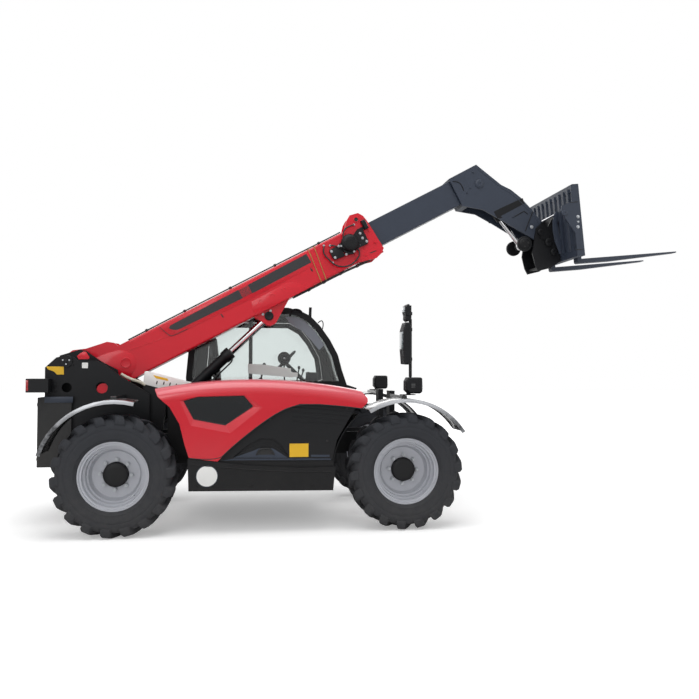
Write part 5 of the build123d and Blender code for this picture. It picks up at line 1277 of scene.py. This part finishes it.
class TELEHANDLER_OT_rear_and_tank(bpy.types.Operator):
    """Tow hitch, blank plate and reflectors at the rear, filler cap and step treads"""

    bl_idname = "telehandler.rear_and_tank"
    bl_label = "Rear and tank"

    def execute(self, context):
        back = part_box("counterweight")[0].x - AXLE_X
        hitch = [sheet([(back + x, z) for x, z in ((0.002, 0.640), (-0.050, 0.650), (-0.072, 0.690),
                                                   (-0.050, 0.730), (0.002, 0.740))], y, 0.018)
                 for y in (-0.052, 0.034)]
        hitch.append(drum((back - 0.042, 0, 0.690), 0.016, 0.150, "Y", 24))
        fit("tow_hitch", "chassis", "iron", hitch, 3)
        holder = block((back - 0.010, back + 0.001), (-0.270, 0.270), (0.930, 1.060))
        fit("plate_holder", "chassis", "plastic", holder, 4)
        blank = block((back - 0.0115, back - 0.009), (-0.255, 0.255), (0.942, 1.048))
        fit("blank_plate_rear", "chassis", "white", blank, 1, 1)
        for hand, side in HANDS:
            fit("reflector_" + hand, "chassis", "red_lens", turned(
                ((0, 0), (0, 0.040), (-0.006, 0.040), (-0.009, 0.034), (-0.009, 0)),
                (back, side * 0.370, 1.000), "X", 40))
        heads = [(back, y, z, 0.020) for y in (-0.380, 0.380) for z in (0.680, 1.240)]
        fit("counterweight_bolts", "chassis", "iron", bolts(heads, way="X"))
        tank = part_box("fuel_tank")[1].y
        cap = turned(((0, 0), (0, 0.062), (0.010, 0.062), (0.014, 0.054), (0.014, 0.050),
                      (0.030, 0.048), (0.034, 0.042), (0.034, 0)), (0.930, tank - 0.001, 0.800))
        grip = block((0.884, 0.976), (tank + 0.030, tank + 0.042), (0.792, 0.808))
        fit("filler_cap", "chassis", "hose", [cap, ease(grip, 3)])
        treads = [block((1.170 + i * 0.040, 1.190 + i * 0.040), (tank - 0.120, tank - 0.004),
                        (0.638, 0.645)) for i in range(12)]
        fit("step_treads", "chassis", "black", treads, 2, 1)
        return {"FINISHED"}


CHANNELS = (-0.42, 0.42)         # sewn channels, as shares of a pad's half width
FOLDS = 8                        # folds of the seat's boot, every second one drawn in
FOLD_H = 0.0385
FOLD_TUCK = 0.012


def pad(x_span, y_span, z_span, crown, place):
    """Upholstered pad: crowned on +Z, its sides drawn in between corners, channels along X."""
    piece = start(bpy.ops.mesh.primitive_cube_add, size=2)
    bpy.ops.object.mode_set(mode="EDIT")
    bpy.ops.mesh.select_all(action="SELECT")
    bpy.ops.mesh.subdivide(number_cuts=23)
    bpy.ops.object.mode_set(mode="OBJECT")
    spans = (x_span, y_span, z_span)
    half = [(b - a) / 2 for a, b in spans]
    mid = Vector([(b + a) / 2 for a, b in spans])
    for corner in piece.data.vertices:
        x, y, z = corner.co
        rise = (1 - x ** 4) * (1 - y ** 4)
        seam = max(0, 1 - abs(abs(z) - 0.45) / 0.12) * 0.012
        tuck = 0.10 * max(0, abs(z) - 0.6)
        pull_x = 1 - 0.02 * (1 - y * y) - tuck * x * x
        pull_y = 1 - 0.02 * (1 - x * x) - tuck * y * y
        top = z * half[2] * (1 - 0.03 * z * z)
        if z > 0:
            top += crown * rise
            for at in CHANNELS:
                top -= 0.010 * math.exp(-((y - at) / 0.05) ** 2) * min(1, rise * 3)
        corner.co = (x * half[0] * (pull_x - seam), y * half[1] * (pull_y - seam), top)
        corner.co += mid
    pick(piece)
    bpy.ops.object.modifier_add(type="SUBSURF")
    smooth = piece.modifiers[-1]
    smooth.levels = smooth.render_levels = 1
    bpy.ops.object.modifier_apply(modifier=smooth.name)
    return settle(piece, place)


class TELEHANDLER_OT_seat(bpy.types.Operator):
    """Sprung driver's seat with sewn cushions on a ribbed boot"""

    bl_idname = "telehandler.seat"
    bl_label = "Seat"

    def execute(self, context):
        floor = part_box("seat")[0].z
        at = Matrix.Translation((AXLE_X, middle("seat").y, 0))
        folds = []
        for i in range(FOLDS):
            tuck, z = (i % 2) * FOLD_TUCK, floor + i * FOLD_H
            folds.append(block((0.905 + tuck, 1.275 - tuck), (-0.155 + tuck, 0.155 - tuck),
                               (z, z + FOLD_H), at))
        boot = fit("seat_boot", "chassis", "hose", folds, 6)
        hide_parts("seat")
        seat_z = floor + 0.435
        lean = (Matrix.Translation((0.915, 0, seat_z)) @ Matrix.Rotation(math.radians(-6.5), 4, "Y")
                @ Matrix.Rotation(math.radians(-90), 4, "Y"))
        cushion = pad((0.875, 1.345), (-0.205, 0.205), (seat_z - 0.118, seat_z - 0.022), 0.020, at)
        back = pad((0.02, 0.58), (-0.190, 0.190), (-0.045, 0.030), 0.018, at @ lean)
        for name, piece in (("seat_cushion", cushion), ("seat_back", back)):
            fit(name, "chassis", "cloth", piece, smooth=180)
        return {"FINISHED"}


PANE_FILM = ((1.271, 1.674), (1.275, 1.561), (1.772, 1.515), (1.852, 1.524), (1.852, 1.571),
             (1.772, 1.577), (1.772, 1.620), (1.450, 1.666))
# Sections of the lever's gaiter and of the fan's grille.
GAITER = ((0, 0), (0, 0.045), (0.012, 0.043), (0.018, 0.034), (0.030, 0.033), (0.036, 0.025),
          (0.050, 0.023), (0.058, 0.012), (0.058, 0))
GRILLE = ((0.008, 0), (0.006, 0.018), (0.014, 0.030), (0.008, 0.042), (0.014, 0.054),
          (0.010, 0.068), (0.024, 0.068), (0.024, 0))


class TELEHANDLER_OT_cab_inside(bpy.types.Operator):
    """Levers, fan, display, post and film in the cab"""

    bl_idname = "telehandler.cab_inside"
    bl_label = "Cab inside"

    def execute(self, context):
        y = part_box("dashboard")[0].y + 0.055
        stalk = tube([(1.420, y, 1.445), (1.425, y, 1.520), (1.450, y, 1.600)], 0.011)
        gaiter = turned(GAITER, (1.420, y, 1.452), "Z", 32)
        knob = ball((1.462, y, 1.640), (0.026, 0.024, 0.048), 24, 12)
        fit("work_lever", "chassis", "plastic", [stalk, gaiter, knob])
        # Cab fan on a short stalk, its hub bright.
        rim = turned(((0, 0.066), (0, 0.076), (0.034, 0.076), (0.040, 0.070), (0.034, 0.066)),
                     (1.696, 0.290, 1.742))
        grille = turned(GRILLE, (1.696, 0.290, 1.742))
        stem = tube([(1.700, 0.310, 1.462), (1.700, 0.312, 1.560), (1.696, 0.310, 1.670)], 0.009)
        fit("cab_fan", "chassis", "plastic", [rim, grille, stem])
        hub = turned(((0, 0), (0, 0.014), (-0.008, 0.011), (-0.011, 0)), (1.696, 0.298, 1.742),
                     steps=32)
        fit("cab_fan_hub", "chassis", "zinc", hub)
        # Blank white film along the foot of the right pane.
        fit("pane_film", "chassis", "white", sheet(PANE_FILM, 0.2425, 0.003), 1, 1)
        # Switch levers and a small display over the console's front end.
        levers = []
        for x, lean, tall in ((1.845, 0.030, 0.200), (1.885, 0.040, 0.170), (1.930, 0.055, 0.130)):
            levers.append(tube([(x, 0.340, 1.420), (x + lean * 0.3, 0.340, 1.420 + tall * 0.5),
                                (x + lean, 0.340, 1.420 + tall)], 0.008))
            levers.append(ball((x + lean, 0.340, 1.430 + tall), (0.017, 0.017, 0.022), 16, 10))
        fit("switch_levers", "chassis", "plastic", levers)
        case = block((1.960, 2.100), (0.320, 0.420), (1.440, 1.575))
        fit("cab_display", "chassis", "plastic", inset(case, (-1, 0, 0), 0.012, -0.004), 6)
        # Padded post beside the door, up to the roof.
        post = tube([(1.310, 1.030, z) for z in (1.000, 1.500, 1.900, 2.240)], 0.024, sides=6)
        fit("cab_post", "chassis", "hose", post)
        return {"FINISHED"}


OPERATORS = (
    TELEHANDLER_OT_stage, TELEHANDLER_OT_finishes, TELEHANDLER_OT_tyres,
    TELEHANDLER_OT_wheel_hubs, TELEHANDLER_OT_boom_side, TELEHANDLER_OT_boom_head,
    TELEHANDLER_OT_cylinders, TELEHANDLER_OT_nose, TELEHANDLER_OT_carriage,
    TELEHANDLER_OT_boom_support, TELEHANDLER_OT_body_side, TELEHANDLER_OT_mudguard_edges,
    TELEHANDLER_OT_lamps, TELEHANDLER_OT_cab_outside, TELEHANDLER_OT_rear_and_tank,
    TELEHANDLER_OT_seat, TELEHANDLER_OT_cab_inside,
)
SETTINGS = {"look": LookSettings, "tyre": TyreSettings, "stage": StageSettings}


class TELEHANDLER_PT_panel(bpy.types.Panel):
    """Lists the steps that dress the machine"""

    bl_idname = "TELEHANDLER_PT_panel"
    bl_label = "Telehandler"
    bl_space_type = "VIEW_3D"
    bl_region_type = "UI"
    bl_category = "Telehandler"

    def draw(self, context):
        for operator in OPERATORS:
            self.layout.operator(operator.bl_idname)


CLASSES = (*SETTINGS.values(), *OPERATORS, TELEHANDLER_PT_panel)


def register():
    for entry in CLASSES:
        bpy.utils.register_class(entry)
    for name, group in SETTINGS.items():
        setattr(bpy.types.Scene, "telehandler_" + name, PointerProperty(type=group))


def unregister():
    for name in SETTINGS:
        delattr(bpy.types.Scene, "telehandler_" + name)
    for entry in reversed(CLASSES):
        bpy.utils.unregister_class(entry)


def main():
    register()
    for operator in OPERATORS:
        family, _, step = operator.bl_idname.partition(".")
        if getattr(getattr(bpy.ops, family), step)() != {"FINISHED"}:
            raise RuntimeError(operator.bl_idname + " did not finish")


if __name__ == "__main__":
    main()
